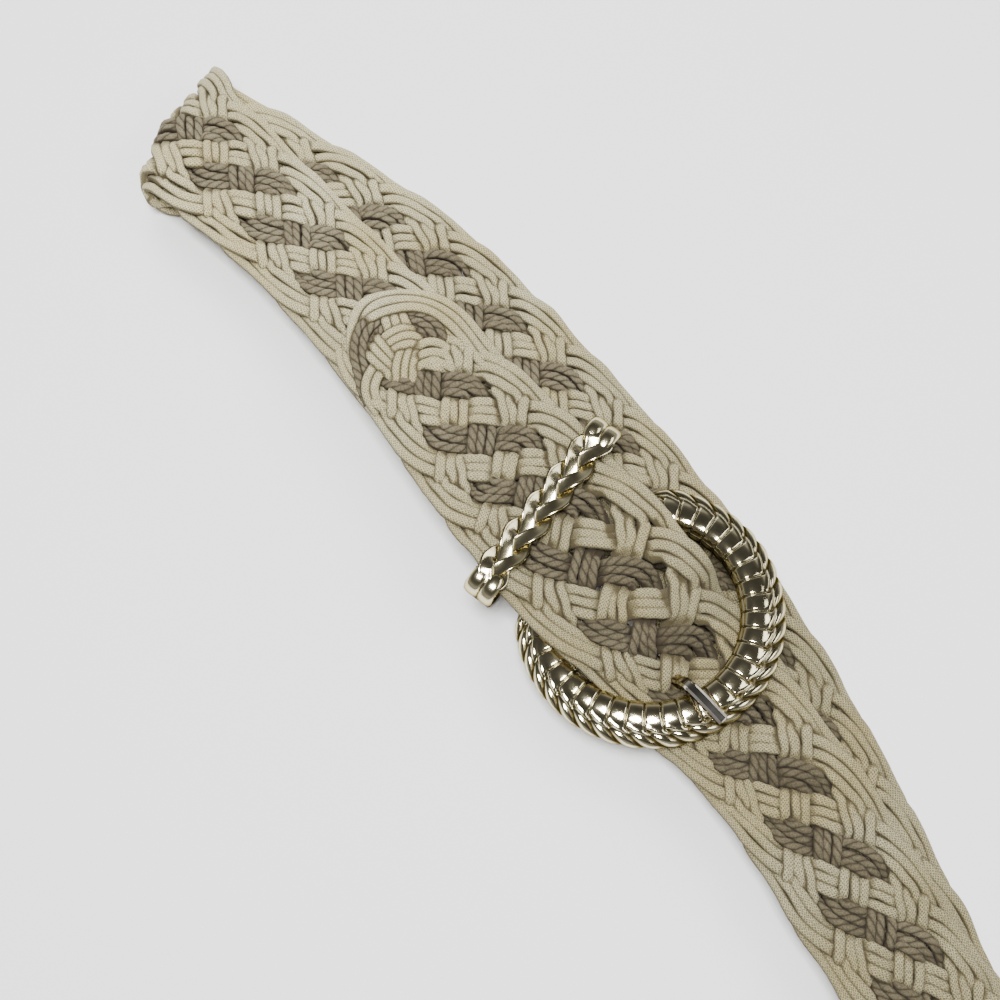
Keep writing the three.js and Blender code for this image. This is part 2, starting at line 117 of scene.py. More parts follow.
# Stations of the strap's middle column: x, y, z, heading in plan, left and right half widths,
# and how far both edges hang below the middle.
BUCKLE_END = [
    (28.4, 9.6, 14.0, 2.0, 13.9, 13.9, 0),
    (20.6, 9.6, 14.4, 2.0, 16.0, 16.0, 0),
    (9.0, 9.7, 15.5, 1.5, 19.0, 18.5, 0),
    (-8.0, 9.5, 16.0, 1.0, 20.5, 18.5, 0),
    (-30.0, 9.1, 16.0, 1.6, 21.0, 18.3, 0),
    (-50.0, 8.4, 16.0, 2.2, 21.5, 18.0, 0),
    (-79.1, 7.2, 16.0, 2.8, 19.0, 17.6, 0),
    (-102.7, 5.9, 16.0, 3.5, 18.6, 17.4, 0),
    (-129.0, 4.6, 16.0, 4.0, 20.8, 17.2, 0),
]
LOWER = [
    (-132.0, 14.6, 3.2, 19.0, 19.5, 19.5, 0),
    (-96.5, 25.4, 3.2, 14.5, 19.5, 19.5, 0),
    (-71.3, 30.8, 3.2, 9.0, 19.5, 19.5, 0),
    (-32.0, 33.6, 3.2, 3.0, 19.5, 19.5, 0),
    (-7.3, 34.2, 3.2, 0.5, 19.5, 19.5, 0),
    (26.7, 33.3, 3.2, -3.0, 19.5, 19.5, 0),
    (73.8, 28.3, 3.2, -8.5, 19.5, 19.5, 0),
    (99.1, 23.7, 3.2, -12.0, 19.5, 19.5, 0),
    (117.0, 19.5, 3.2, -14.0, 19.5, 19.5, 0),
    (150.0, 10.9, 3.2, -15.2, 19.5, 19.5, 0),
    (180.0, 2.5, 3.2, -16.0, 19.5, 19.5, 0),
]
TIP_END = [
    (185.0, -3.4, 16.0, -10.0, 19.5, 19.5, 0),
    (165.0, 0.1, 16.0, -9.0, 19.5, 19.5, 0),
    (144.7, 3.2, 16.0, -6.5, 19.6, 19.5, 0),
    (133.5, 4.7, 16.0, -4.5, 18.8, 20.2, 0),
    (120.4, 5.4, 15.8, -1.0, 17.6, 21.8, 0),
    (106.9, 5.5, 14.8, 0.2, 16.8, 23.2, 0),
    (98.0, 5.3, 14.0, 1.4, 16.4, 25.0, 0),
    (90.0, 5.0, 13.4, 2.6, 16.6, 27.0, 0.2),
    (84.0, 4.7, 13.0, 3.4, 17.0, 28.0, 0.4),
    (80.0, 4.4, 13.1, 4.2, 17.2, 29.0, 1.6),
    (75.0, 4.0, 14.8, 5.5, 17.0, 30.0, 4.0),
    (70.0, 3.4, 17.2, 7.0, 16.6, 30.6, 6.8),
    (64.0, 2.7, 19.9, 5.0, 16.4, 31.2, 7.2),
    (58.0, 2.3, 22.2, 2.0, 17.2, 32.0, 5.0),
    (52.0, 2.2, 23.6, 0.0, 18.0, 32.4, 1.4),
    (46.0, 2.2, 23.8, -1.5, 20.0, 32.5, 0.3),
    (33.3, 2.8, 23.3, -5.0, 22.2, 32.3, 0),
    (20.0, 4.4, 23.1, -6.5, 24.0, 29.4, 0),
    (5.5, 6.0, 23.1, -4.0, 24.9, 25.4, 0),
    (-14.9, 5.5, 23.1, 2.0, 22.9, 23.9, 0),
    (-37.9, 4.4, 23.1, 1.5, 18.6, 22.6, 0),
    (-50.0, 4.6, 23.0, -2.5, 17.8, 19.0, 0),
    (-60.0, 5.3, 22.8, -5.0, 17.2, 17.2, 0),
    (-69.0, 6.1, 22.6, -5.0, 17.0, 17.0, 0),
]

# Where the two taupe strands cross on the middle column, counted from the bar, as x on the
# layer that the photograph shows.
CROSSINGS_BUCKLE_END = {0: 22.4, 1: -3.0, 2: -28.3, 3: -53.7, 4: -79.1, 5: -102.7, 6: -129.0, 7: -152.4}
CROSSINGS_TIP_END = {
    26: 133.5, 27: 106.9, 28: 84.5, 29: 58.6, 30: 33.3, 31: 5.5, 32: -14.9, 33: -37.9, 34: -61.5,
}


def fold_stations(start, end, side, flare):
    """Five stations round the half turn of the strap at one end of the loop."""
    stations = []
    for share in np.linspace(0.0, 1.0, 5):
        turn = share * math.pi
        mix = start * (1 - share) + end * share
        reach = side * FOLD_RADIUS * math.sin(turn)
        yaw = math.radians(mix[3])
        mix[0] += reach * math.cos(yaw)
        mix[1] += reach * math.sin(yaw)
        mix[2] = (start[2] + end[2]) / 2 + (start[2] - end[2]) / 2 * math.cos(turn)
        mix[4] += flare[0] * math.sin(turn)
        mix[5] += flare[1] * math.sin(turn)
        stations.append(tuple(mix))
    return stations


TIP_SIDE_FOLD = fold_stations(
    np.array([-154.4, 2.6, UPPER_HEIGHT, 6, 21.8, 18, 0]),
    np.array([-154.4, 6.4, REST_HEIGHT, 21, 20.5, 19.5, 0]), -1, (5.0, 2.4))
FAR_FOLD = fold_stations(
    np.array([206, -5.0, REST_HEIGHT, -16.5, 19.5, 19.5, 0]),
    np.array([206, -7.2, UPPER_HEIGHT, -11, 19.5, 19.5, 0]), 1, (1, 1))
STATIONS = np.array(BUCKLE_END + TIP_SIDE_FOLD + LOWER + FAR_FOLD + TIP_END, dtype=float)


# Camera.
CAMERA = {
    "azimuth": 50.0, "elevation": 75.0, "distance": 450.0, "focal_px": 1539.0, "picture_px": 1000.0,
    "sensor_mm": 36.0, "look_at_z": 14.0, "near_m": 0.01, "far_m": 10.0,
}


def add_camera():
    azimuth = math.radians(CAMERA["azimuth"])
    elevation = math.radians(CAMERA["elevation"])
    back = Vector((math.sin(azimuth) * math.cos(elevation),
                   -math.cos(azimuth) * math.cos(elevation),
                   math.sin(elevation)))
    target = Vector((-PLAN_MIDDLE[0], -PLAN_MIDDLE[1], CAMERA["look_at_z"])) * MM
    data = bpy.data.cameras.new("camera")
    data.sensor_width = CAMERA["sensor_mm"]
    data.sensor_height = CAMERA["sensor_mm"]
    data.lens = CAMERA["sensor_mm"] * CAMERA["focal_px"] / CAMERA["picture_px"]
    data.clip_start = CAMERA["near_m"]
    data.clip_end = CAMERA["far_m"]
    camera = bpy.data.objects.new("camera", data)
    camera.location = target + back * CAMERA["distance"] * MM
    camera.rotation_euler = back.to_track_quat("Z", "Y").to_euler()
    bpy.context.scene.collection.objects.link(camera)
    bpy.context.scene.camera = camera


add_camera()


# Helpers for rows of points.
def normalised(vectors):
    return vectors / (np.linalg.norm(vectors, axis=1)[:, None] + 1e-9)


def running_length(points):
    """Length from the first point to each of them."""
    return np.concatenate([[0.0], np.cumsum(np.linalg.norm(np.diff(points, axis=0), axis=1))])


def upright(count):
    return np.tile(UP, (count, 1))


def turned(degrees):
    """Unit vector of the plan at an angle from +X."""
    angle = math.radians(degrees)
    return np.array([math.cos(angle), math.sin(angle), 0.0])


def between(p0, p1, p2, p3, parts):
    """Catmull-Rom points from each point of p1 towards the same one of p2, a row for each."""
    steps = [0.5 * ((2 * p1) + (-p0 + p2) * t + (2 * p0 - 5 * p1 + 4 * p2 - p3) * t ** 2
                    + (-p0 + 3 * p1 - 3 * p2 + p3) * t ** 3) for t in np.arange(parts) / parts]
    return np.stack(steps, axis=1).reshape(-1, p1.shape[1])


def finer(values, parts):
    """Catmull-Rom points between the given ones."""
    padded = np.vstack([2 * values[0] - values[1], values, 2 * values[-1] - values[-2]])
    return np.vstack([between(padded[:-3], padded[1:-2], padded[2:-1], padded[3:], parts), values[-1]])


# Strap path.
def spline_point(p0, p1, p2, p3, share):
    """Centripetal Catmull-Rom between p1 and p2."""
    def knot(a, b):
        return max(math.sqrt(np.linalg.norm(b - a)), 1e-4)
    t0 = 0.0
    t1 = t0 + knot(p0, p1)
    t2 = t1 + knot(p1, p2)
    t3 = t2 + knot(p2, p3)
    t = t1 + (t2 - t1) * share
    a1 = (t1 - t) / (t1 - t0) * p0 + (t - t0) / (t1 - t0) * p1
    a2 = (t2 - t) / (t2 - t1) * p1 + (t - t1) / (t2 - t1) * p2
    a3 = (t3 - t) / (t3 - t2) * p2 + (t - t2) / (t3 - t2) * p3
    b1 = (t2 - t) / (t2 - t0) * a1 + (t - t0) / (t2 - t0) * a2
    b2 = (t3 - t) / (t3 - t1) * a2 + (t - t1) / (t3 - t1) * a3
    return (t2 - t) / (t2 - t1) * b1 + (t - t1) / (t2 - t1) * b2


class StrapPath:
    """The strap's middle column as dense samples, read by the length along it in millimetres."""

    def __init__(self, stations):
        spots = stations[:, :3]
        padded = np.vstack([2 * spots[0] - spots[1], spots, 2 * spots[-1] - spots[-2]])
        points = []
        columns = []
        for i in range(len(spots) - 1):
            for share in np.arange(SAMPLES_PER_STATION) / SAMPLES_PER_STATION:
                points.append(spline_point(*padded[i:i + 4], share))
                columns.append(stations[i, 3:] * (1 - share) + stations[i + 1, 3:] * share)
        self.points = np.array(points + [spots[-1]])
        self.points[:, 2] = np.maximum(self.points[:, 2], REST_HEIGHT)
        self.along = running_length(self.points)
        self.length = self.along[-1]
        yaw, self.left, self.right, self.dip = np.array(columns + [stations[-1, 3:]]).T
        yaw = np.radians(yaw)
        across = np.stack([-np.sin(yaw), np.cos(yaw), np.zeros_like(yaw)], axis=1)
        self.tangent = normalised(np.gradient(self.points, self.along, axis=0))
        self.across = normalised(across - self.tangent * np.sum(across * self.tangent, axis=1)[:, None])
        self.outer = np.cross(self.across, self.tangent)

    def read(self, values, along):
        if values.ndim == 1:
            return np.interp(along, self.along, values)
        return np.stack([np.interp(along, self.along, values[:, i]) for i in range(3)], axis=1)

    def taper(self, along):
        """Share of the strap's width that is left, less than 1 only in the round tip."""
        to_tip = np.clip((self.length - along) / TIP_LENGTH, 0.0, 1.0)
        return np.sqrt(np.maximum(0.02, 1 - (1 - to_tip) ** 2))

    def place(self, along, sideways, height):
        """Points at a length along, a distance across and a height above the strap's middle."""
        beyond = np.where(along < 0, along, 0.0)
        outer = self.read(self.outer, along)
        half = np.where(sideways < 0, self.read(self.left, along), self.read(self.right, along))
        share = np.clip(sideways / half, -1.0, 1.0)
        dip = self.read(self.dip, along) * np.where(share < 0, LEFT_DIP, 1.0)
        points = (self.read(self.points, along) + self.read(self.across, along) * sideways[:, None]
                  + outer * (height - dip * share ** 2)[:, None]
                  + self.read(self.tangent, along) * beyond[:, None])
        return points, outer


strap = StrapPath(STATIONS)


def crossing_lengths():
    """The counted taupe crossings, and the length along the strap of each."""
    fold_start = strap.along[np.argmin(strap.points[:, 0])]
    fold_end = strap.along[np.argmax(strap.points[:, 0])]
    lengths = []
    for layer, table in ((strap.along < fold_start, CROSSINGS_BUCKLE_END),
                         (strap.along > fold_end, CROSSINGS_TIP_END)):
        xs = -strap.points[layer][:, 0]
        lengths += [np.interp(-x, xs, strap.along[layer]) for x in table.values()]
    return np.array([*CROSSINGS_BUCKLE_END, *CROSSINGS_TIP_END], dtype=float), np.array(lengths)


COUNTS, LENGTHS = crossing_lengths()


def length_at(count):
    """Length along the strap at a crossing count, extended evenly past both ends."""
    first_step = (LENGTHS[1] - LENGTHS[0]) / (COUNTS[1] - COUNTS[0])
    last_step = (LENGTHS[-1] - LENGTHS[-2]) / (COUNTS[-1] - COUNTS[-2])
    inside = np.interp(count, COUNTS, LENGTHS)
    before = np.minimum(count - COUNTS[0], 0) * first_step
    after = np.maximum(count - COUNTS[-1], 0) * last_step
    return inside + before + after


# Braid.
def strand_middle(kind, units):
    """Sideways place of a strand's middle at a number of units along its period."""
    if kind == TAUPE:
        return TAUPE_SWING * np.sin(np.pi * units / 2)
    wave, third = CREAM_SWING
    return wave * np.sin(np.pi * units / 6) + third * np.sin(np.pi * units / 2)


def partner_slope(kind, units, own_slope):
    """Slope of the strand that a strand crosses at a number of units along its period."""
    if units == int(units):
        return -own_slope
    return -math.copysign(STRAND_KINDS[1 - kind]["slope"], own_slope)


def slope_of(values):
    """Slope of closed rows of values, one for each grid line."""
    return (np.roll(values, -1, axis=-1) - np.roll(values, 1, axis=-1)) / (2 * GRID_STEP)


def tube_arrays(points, up, radii, sides, start_length=0.0):
    """Rings of a tube along points, with the first corner towards up. radii is one number for
    each ring, or one for each corner of each ring."""
    tangent = normalised(np.gradient(points, axis=0))
    side = normalised(np.cross(tangent, up))
    top = np.cross(side, tangent)
    angle = np.arange(sides) / sides * 2 * np.pi
    radii = np.asarray(radii, dtype=float)
    if radii.ndim == 1:
        radii = np.repeat(radii[:, None], sides, axis=1)
    rings = (points[:, None, :]
             + top[:, None, :] * (np.cos(angle)[None, :] * radii)[:, :, None]
             + side[:, None, :] * (np.sin(angle)[None, :] * radii)[:, :, None])
    return rings, start_length + running_length(points)


def pressed_radii(widen, sides):
    """Radii round a cord that its neighbours press flat, one row for each ring of the tube."""
    angle = np.arange(sides) / sides * 2 * np.pi
    power = CORD_SECTION["squareness"]
    up = np.abs(np.cos(angle) / CORD_SECTION["half_height"])[None, :]
    across = np.abs(np.sin(angle) / CORD_SECTION["half_width"])[None, :] / widen[:, None]
    return (up ** power + across ** power) ** (-1 / power)


def clearance(rings, others):
    """Distance of each corner of a tube's rings from the nearest surface among other cords, whose
    middle lines are given as points."""
    gap = np.full(rings.shape[:2], np.inf)
    for i, ring in enumerate(rings):
        close = others[np.abs(others - ring.mean(axis=0)).max(axis=1) < CLEAR_REACH]
        if len(close):
            gap[i] = np.linalg.norm(ring[:, None, :] - close[None, :, :], axis=2).min(axis=1)
    return np.clip(gap - CORD_DIAMETER / 2, 0.0, 1.0)


class Braid:
    """One repeat of the braid, with its cords pushed apart until they lie against each other. Each
    list holds the table of a cream strand and then that of a taupe one, with a row for each cord."""

    def __init__(self):
        self.grids = [kind["units"] * STEPS_PER_UNIT for kind in STRAND_KINDS]
        self.sideways = []
        self.heights = []
        for kind, grid in enumerate(self.grids):
            units = np.arange(grid) / STEPS_PER_UNIT
            self.sideways.append(self.spread(strand_middle(kind, units)))
            self.heights.append(self.over_and_under(kind, units))
        self.cords = [(kind, strand, c) for kind in (CREAM, TAUPE)
                      for strand in range(STRAND_KINDS[kind]["strands"]) for c in range(CORDS)]
        lines = np.arange(self.grids[CREAM])
        self.shown = np.stack([self.shown_at(kind, strand, lines) for kind, strand, _ in self.cords], axis=1)
        self.settle()
        self.room = [self.room_between(places) for places in self.sideways]
        self.clear = [self.measure(kind) for kind in (CREAM, TAUPE)]

    def shown_at(self, kind, strand, lines):
        """Which point of its table a strand shows at each of the given grid lines."""
        late = STRAND_KINDS[kind]["late"] * STEPS_PER_UNIT
        return (lines - late - 2 * STEPS_PER_UNIT * strand) % self.grids[kind]

    @staticmethod
    def spread(middle):
        offsets = (np.arange(CORDS) - (CORDS - 1) / 2) * CORD_PITCH
        return middle[None, :] + offsets[:, None] * np.sqrt(1 + slope_of(middle) ** 2)[None, :]

    @staticmethod
    def room_between(places):
        """Distance between the cords of a strand, as a share of the usual one."""
        apart = np.abs(np.diff(places, axis=0)) / np.sqrt(1 + slope_of(places)[:-1] ** 2) / CORD_PITCH
        return np.stack([apart[0], (apart[0] + apart[1]) / 2, apart[1]])

    @staticmethod
    def over_and_under(kind, units):
        """Over and under along each cord. The outer cords of a strand meet the strand that they
        cross a little sooner or later than its middle cord."""
        period = STRAND_KINDS[kind]["units"]
        table = STRAND_KINDS[kind]["over"]
        at = np.array([*table], dtype=float)
        signs = np.tile(np.array([*table.values()], dtype=float), 3)
        small = 0.01
        slope = (strand_middle(kind, at + small) - strand_middle(kind, at - small)) / (2 * small * UNIT)
        closing = np.array([partner_slope(kind, u, own) for u, own in zip(at, slope)]) - slope
        rows = []
        for c in range(CORDS):
            offset = (c - (CORDS - 1) / 2) * CORD_PITCH * np.sqrt(1 + slope ** 2)
            shift = np.clip(offset / closing / UNIT, -MOST_SHIFT, MOST_SHIFT)
            moved = np.concatenate([at - period + shift, at + shift, at + period + shift])
            index = np.searchsorted(moved, units, side="right") - 1
            share = (units - moved[index]) / (moved[index + 1] - moved[index])
            ease = 0.5 - 0.5 * np.tanh(PLATEAU * np.cos(np.pi * share)) / math.tanh(PLATEAU)
            rows.append(signs[index] * (1 - ease) + signs[index + 1] * ease)
        return np.array(rows) * CROSSING_HEIGHT

    def expand(self):
        """Sideways place and height of every cord, a row for each grid line of the repeat."""
        return [np.stack([tables[kind][c, self.shown[:, column]]
                          for column, (kind, _, c) in enumerate(self.cords)], axis=1)
                for tables in (self.sideways, self.heights)]

    def settle(self):
        """Pushes overlapping cords apart, towards the over and under places of the tables."""
        shifts = range(-SETTLE["reach"], SETTLE["reach"] + 1)
        wall = BRAID_HALF_WIDTH - CORD_DIAMETER / 2
        home_t, home_z = self.expand()
        own = np.eye(len(self.cords), dtype=bool)[None, :, :]
        order = {}
        for shift in shifts:
            lead = home_z[:, :, None] - np.roll(home_z, -shift, axis=0)[:, None, :]
            order[shift] = np.where(np.abs(lead) > SETTLE["lead"], np.sign(lead), 0.0)
        for _ in range(SETTLE["steps"]):
            t, z = self.expand()
            push_t = np.zeros_like(t)
            push_z = np.zeros_like(z)
            for shift in shifts:
                dt = t[:, :, None] - np.roll(t, -shift, axis=0)[:, None, :]
                dz = z[:, :, None] - np.roll(z, -shift, axis=0)[:, None, :]
                gap = np.sqrt(dt ** 2 + (shift * GRID_STEP) ** 2 + dz ** 2) + 1e-6
                missing = np.where((gap < CORD_DIAMETER) & ~own, CORD_DIAMETER - gap, 0.0)
                aside = np.where(order[shift] != 0, 0.0, missing * dt / gap)
                push_z += np.sum(SETTLE["push_up"] * missing * order[shift], axis=2)
                push_t += np.sum(SETTLE["push_aside"] * aside, axis=2)
            push_t = np.clip(push_t, -SETTLE["most_aside"], SETTLE["most_aside"])
            push_z = np.clip(push_z, -SETTLE["most_up"], SETTLE["most_up"])
            push_t -= SETTLE["edge"] * np.maximum(np.abs(t) - wall, 0.0) * np.sign(t)
            push_t += SETTLE["home_aside"] * (home_t - t)
            push_z += SETTLE["home_up"] * (home_z - z)
            for tables, push, strength in ((self.sideways, push_t, SETTLE["smooth_aside"]),
                                           (self.heights, push_z, SETTLE["smooth_up"])):
                self.move(tables, push, strength)
        limit = HALF_THICKNESS - CORD_DIAMETER / 2 + SETTLE["slack"]
        self.heights = [np.clip(table, -limit, limit) for table in self.heights]

    def move(self, tables, push, strength):
        """Moves each point of the tables by the mean push on the cords that show it, and smooths."""
        for kind, table in enumerate(tables):
            for c in range(CORDS):
                total = np.zeros(table.shape[1])
                hits = np.zeros(table.shape[1])
                for column, cord in enumerate(self.cords):
                    if cord[0] == kind and cord[2] == c:
                        np.add.at(total, self.shown[:, column], push[:, column])
                        np.add.at(hits, self.shown[:, column], 1.0)
                table[c] += total / hits
            around = (np.roll(table, 1, axis=1) + np.roll(table, -1, axis=1)) / 2
            table += strength * (around - table)

    def measure(self, kind):
        """How clear of the other cords each corner of the first strand's cords is."""
        t, z = self.expand()
        grid = self.grids[CREAM]
        margin = grid // 4
        lines = np.arange(-margin, grid + margin)[::-1]
        spots = np.stack([np.broadcast_to(-lines[:, None] * GRID_STEP, (len(lines), t.shape[1])),
                          -t[lines % grid], z[lines % grid]], axis=-1)
        halfway = (spots[1:] + spots[:-1]) / 2
        inside = slice(margin, margin + grid)
        sides = STRAND_KINDS[kind]["sides"]
        table = np.ones((*self.room[kind].shape, sides))
        for c in range(CORDS):
            own = self.cords.index((kind, 0, c))
            rest = np.arange(len(self.cords)) != own
            others = np.concatenate([spots[:, rest].reshape(-1, 3), halfway[:, rest].reshape(-1, 3)])
            at = self.shown[lines % grid, own]
            radii = pressed_radii(self.room[kind][c, at], sides)
            rings, _ = tube_arrays(spots[:, own], upright(len(lines)), radii, sides)
            table[c, at[inside]] = clearance(rings[inside], others)
        return table

    def cord(self, kind, strand, c, lines):
        """The strand's middle on the given grid lines, and one cord's sideways place, height, room
        and clearance there."""
        at = self.shown_at(kind, strand, lines)
        tables = (self.sideways, self.heights, self.room, self.clear)
        return strand_middle(kind, at / STEPS_PER_UNIT), *(table[kind][c, at] for table in tables)


braid = Braid()


# Meshes.
class MeshParts:
    """Collects tubes and grids into one mesh with a UV map in millimetres."""

    def __init__(self):
        self.verts = []
        self.quads = []
        self.uvs = []
        self.caps = []
        self.clear = []
        self.count = 0

    def add_grid(self, rings, us=None, vs=None, closed_along=False, cap=False, clear=1.0):
        """Adds rings of corners, joined into faces. The map counts rings and corners, unless us
        and vs give other measures."""
        n, m, _ = rings.shape
        us = np.arange(n + 1, dtype=float) if us is None else us
        vs = np.arange(m + 1, dtype=float) if vs is None else vs
        base = self.count
        self.verts.append(rings.reshape(-1, 3))
        self.clear.append(np.broadcast_to(clear, (n, m)).ravel())
        self.count += n * m
        rows = n if closed_along else n - 1
        i, k = np.meshgrid(np.arange(rows), np.arange(m), indexing="ij")
        i2 = (i + 1) % n
        k2 = (k + 1) % m
        quad = np.stack([i * m + k, i * m + k2, i2 * m + k2, i2 * m + k], axis=-1)
        self.quads.append(base + quad.reshape(-1, 4))
        corners = [np.stack([us[i + a], vs[k + b]], axis=-1) for a, b in ((0, 0), (0, 1), (1, 1), (1, 0))]
        self.uvs.append(np.stack(corners, axis=2).reshape(-1, 2))
        if cap:
            self.caps.append([base + j for j in range(m)][::-1])
            self.caps.append([base + (n - 1) * m + j for j in range(m)])

    def add_tube(self, points, up, radii, sides, start_length=0.0, clear=1.0):
        rings, length = tube_arrays(points, up, radii, sides, start_length)
        girth = np.arange(sides + 1) / sides * np.pi * CORD_DIAMETER
        self.add_grid(rings, np.append(length, length[-1]), girth, cap=True, clear=clear)

    def build(self, name, material, crease=0):
        """Makes the object, with edges sharper than crease degrees left sharp, unless it is 0."""
        verts = (np.vstack(self.verts) - PLAN_MIDDLE) * MM
        mesh = bpy.data.meshes.new(name)
        mesh.from_pydata(verts.tolist(), [], np.vstack(self.quads).tolist() + self.caps)
        uv = np.zeros((len(mesh.loops), 2), dtype=np.float32)
        flat = np.vstack(self.uvs)
        uv[:len(flat)] = flat
        mesh.uv_layers.new(name="CordMap").data.foreach_set("uv", uv.ravel())
        mesh.polygons.foreach_set("use_smooth", np.ones(len(mesh.polygons), dtype=bool))
        if crease:
            mesh.set_sharp_from_angle(angle=math.radians(crease))
        mesh.materials.append(material)
        mesh.validate()
        mesh.update()
        # The clear attribute sets the painted shade: cords darken where it is small, metals as it falls.
        room = mesh.attributes.new("clear", "FLOAT", "POINT")
        room.data.foreach_set("value", np.concatenate(self.clear).astype(np.float32))
        item = bpy.data.objects.new(name, mesh)
        bpy.context.scene.collection.objects.link(item)
        return item


# Materials.
def new_material(name):
    material = bpy.data.materials.new(name)
    material.use_nodes = True
    nodes = material.node_tree.nodes
    nodes.clear()
    output = nodes.new("ShaderNodeOutputMaterial")
    shader = nodes.new("ShaderNodeBsdfPrincipled")
    material.node_tree.links.new(shader.outputs["BSDF"], output.inputs["Surface"])
    return material, shader


class Wiring:
    """Short helpers to write a node tree in plain lines."""

    def __init__(self, material):
        self.tree = material.node_tree

    def put(self, value, socket):
        """Sets a socket to a number or a colour, or links another node's output to it."""
        if isinstance(value, tuple):
            socket.default_value = (*value, 1.0)
        elif isinstance(value, (int, float)):
            socket.default_value = value
        else:
            self.tree.links.new(value, socket)

    def fill(self, item, inputs):
        for socket, value in inputs.items():
            self.put(value, item.inputs[socket])

    def node(self, kind, inputs=None, **values):
        item = self.tree.nodes.new(kind)
        for key, value in values.items():
            setattr(item, key, value)
        self.fill(item, inputs or {})
        return item

    def maths(self, operation, *values):
        return self.node("ShaderNodeMath", dict(enumerate(values)), operation=operation).outputs[0]

    def split(self, vector):
        return self.node("ShaderNodeSeparateXYZ", {0: vector}).outputs

    def ramp(self, factor, stops):
        item = self.node("ShaderNodeValToRGB", {"Fac": factor})
        elements = item.color_ramp.elements
        while len(elements) < len(stops):
            elements.new(0.5)
        for element, (place, colour) in zip(elements, stops):
            element.position = place
            element.color = (*colour, 1.0)
        return item.outputs["Color"]

    def noise(self, vector, scale, detail=2.0):
        inputs = {"Scale": scale, "Detail": detail, "Vector": vector}
        return self.node("ShaderNodeTexNoise", inputs).outputs["Fac"]

    def mix(self, factor, first, second, blend="MIX"):
        item = self.node("ShaderNodeMix", data_type="RGBA", blend_type=blend)
        self.fill(item, {0: factor, 6: first, 7: second})
        return item.outputs[2]

    def tinted(self, colour, tint):
        return self.mix(1.0, colour, tint, "MULTIPLY")

    def bump(self, height, strength, distance):
        inputs = {"Strength": strength, "Distance": distance, "Height": height}
        return self.node("ShaderNodeBump", inputs).outputs["Normal"]

    def share(self, value, start, end):
        """How far a value has come from start to end, kept between 0 and 1."""
        passed = self.maths("DIVIDE", self.maths("SUBTRACT", value, start), end - start)
        return self.maths("MINIMUM", self.maths("MAXIMUM", passed, 0.0), 1.0)

    def wave(self, turns):
        return self.maths("SINE", self.maths("MULTIPLY", turns, 2 * math.pi))

    def recess(self, closed, clear):
        """Painted shade in crevices: falls from 1 to 0 as the room that the mesh names grows from closed to
        clear.
        """
        room = self.node("ShaderNodeAttribute", attribute_name="clear").outputs["Fac"]
        return self.share(room, clear, closed)

    def flank(self, around, start, end):
        """Painted shade on both flanks of a cord, where it lies against the next: rises from 0 to 1 there."""
        turn = self.maths("MULTIPLY", around, 2 / CORD_DIAMETER)
        return self.share(self.maths("ABSOLUTE", self.maths("SINE", turn)), start, end)

    def darker_along_x(self, place):
        """Unchanged far from the buckle, and a little darker from the buckle on."""
        patchy = self.maths("MULTIPLY", self.noise(place, DARKER_ALONG_X["patches"]), DARKER_ALONG_X["patchiness"])
        reach = self.maths("ADD", self.maths("ADD", self.split(place)[0], patchy), DARKER_ALONG_X["lead"])
        return self.ramp(self.maths("DIVIDE", reach, DARKER_ALONG_X["run"]), [(0.0, WHITE), (1.0, DARKER_ALONG_X["tint"])])


WHITE = (1.0, 1.0, 1.0)
# The cords grow darker along x over a patchy stretch.
DARKER_ALONG_X = {"patches": 18.0, "patchiness": 0.06, "lead": 0.10, "run": 0.16, "tint": (0.56, 0.55, 0.52)}
# shade is the colour that the cords' flanks and recesses are mixed towards as painted shade, and hole is the
# colour of the painted shade in the pin holes.
COTTON = {
    "name": "cream_cotton_cord", "speck": [(0.35, (0.72, 0.70, 0.66)), (0.64, (1.22, 1.22, 1.22))],
    "flank": (0.70, 0.93), "flank_share": 0.85, "recess": (0.1, 0.75), "shade": (0.07, 0.056, 0.028),
    "roughness": 0.92, "sheen": 0.1, "sheen_tint": (1.0, 0.9, 0.7), "specular": 0.2, "bump": (0.55, 0.00022),
    "fuzz": 2600.0, "stitch": 0.95, "wander": 0.8, "hole": (0.14, 0.115, 0.06), "hole_shade_share": 0.85,
    "clean": [(0.3, (0.48, 0.435, 0.265)), (0.55, (0.55, 0.51, 0.325)), (0.75, (0.62, 0.585, 0.40))],
    "stain": [(0.45, WHITE), (0.65, (1.0, 0.95, 0.84))],
}
# groove is the colour of the painted shade in the grooves between the plies.
ROPE = {
    "name": "taupe_twisted_cord", "speck": [(0.35, (0.66, 0.66, 0.66)), (0.65, (1.2, 1.2, 1.2))],
    "flank": (0.74, 0.95), "flank_share": 0.9, "recess": (0.05, 0.6), "shade": (0.028, 0.02, 0.011),
    "roughness": 0.88, "sheen": 0.06, "sheen_tint": (1.0, 0.88, 0.7), "specular": 0.25, "bump": (0.5, 0.0002),
    "fuzz": 2200.0, "groove": (0.035, 0.027, 0.016), "groove_share": 0.95, "threads": (2.2, 1.1),
    "clean": [(0.3, (0.13, 0.11, 0.067)), (0.7, (0.215, 0.186, 0.12))],
}


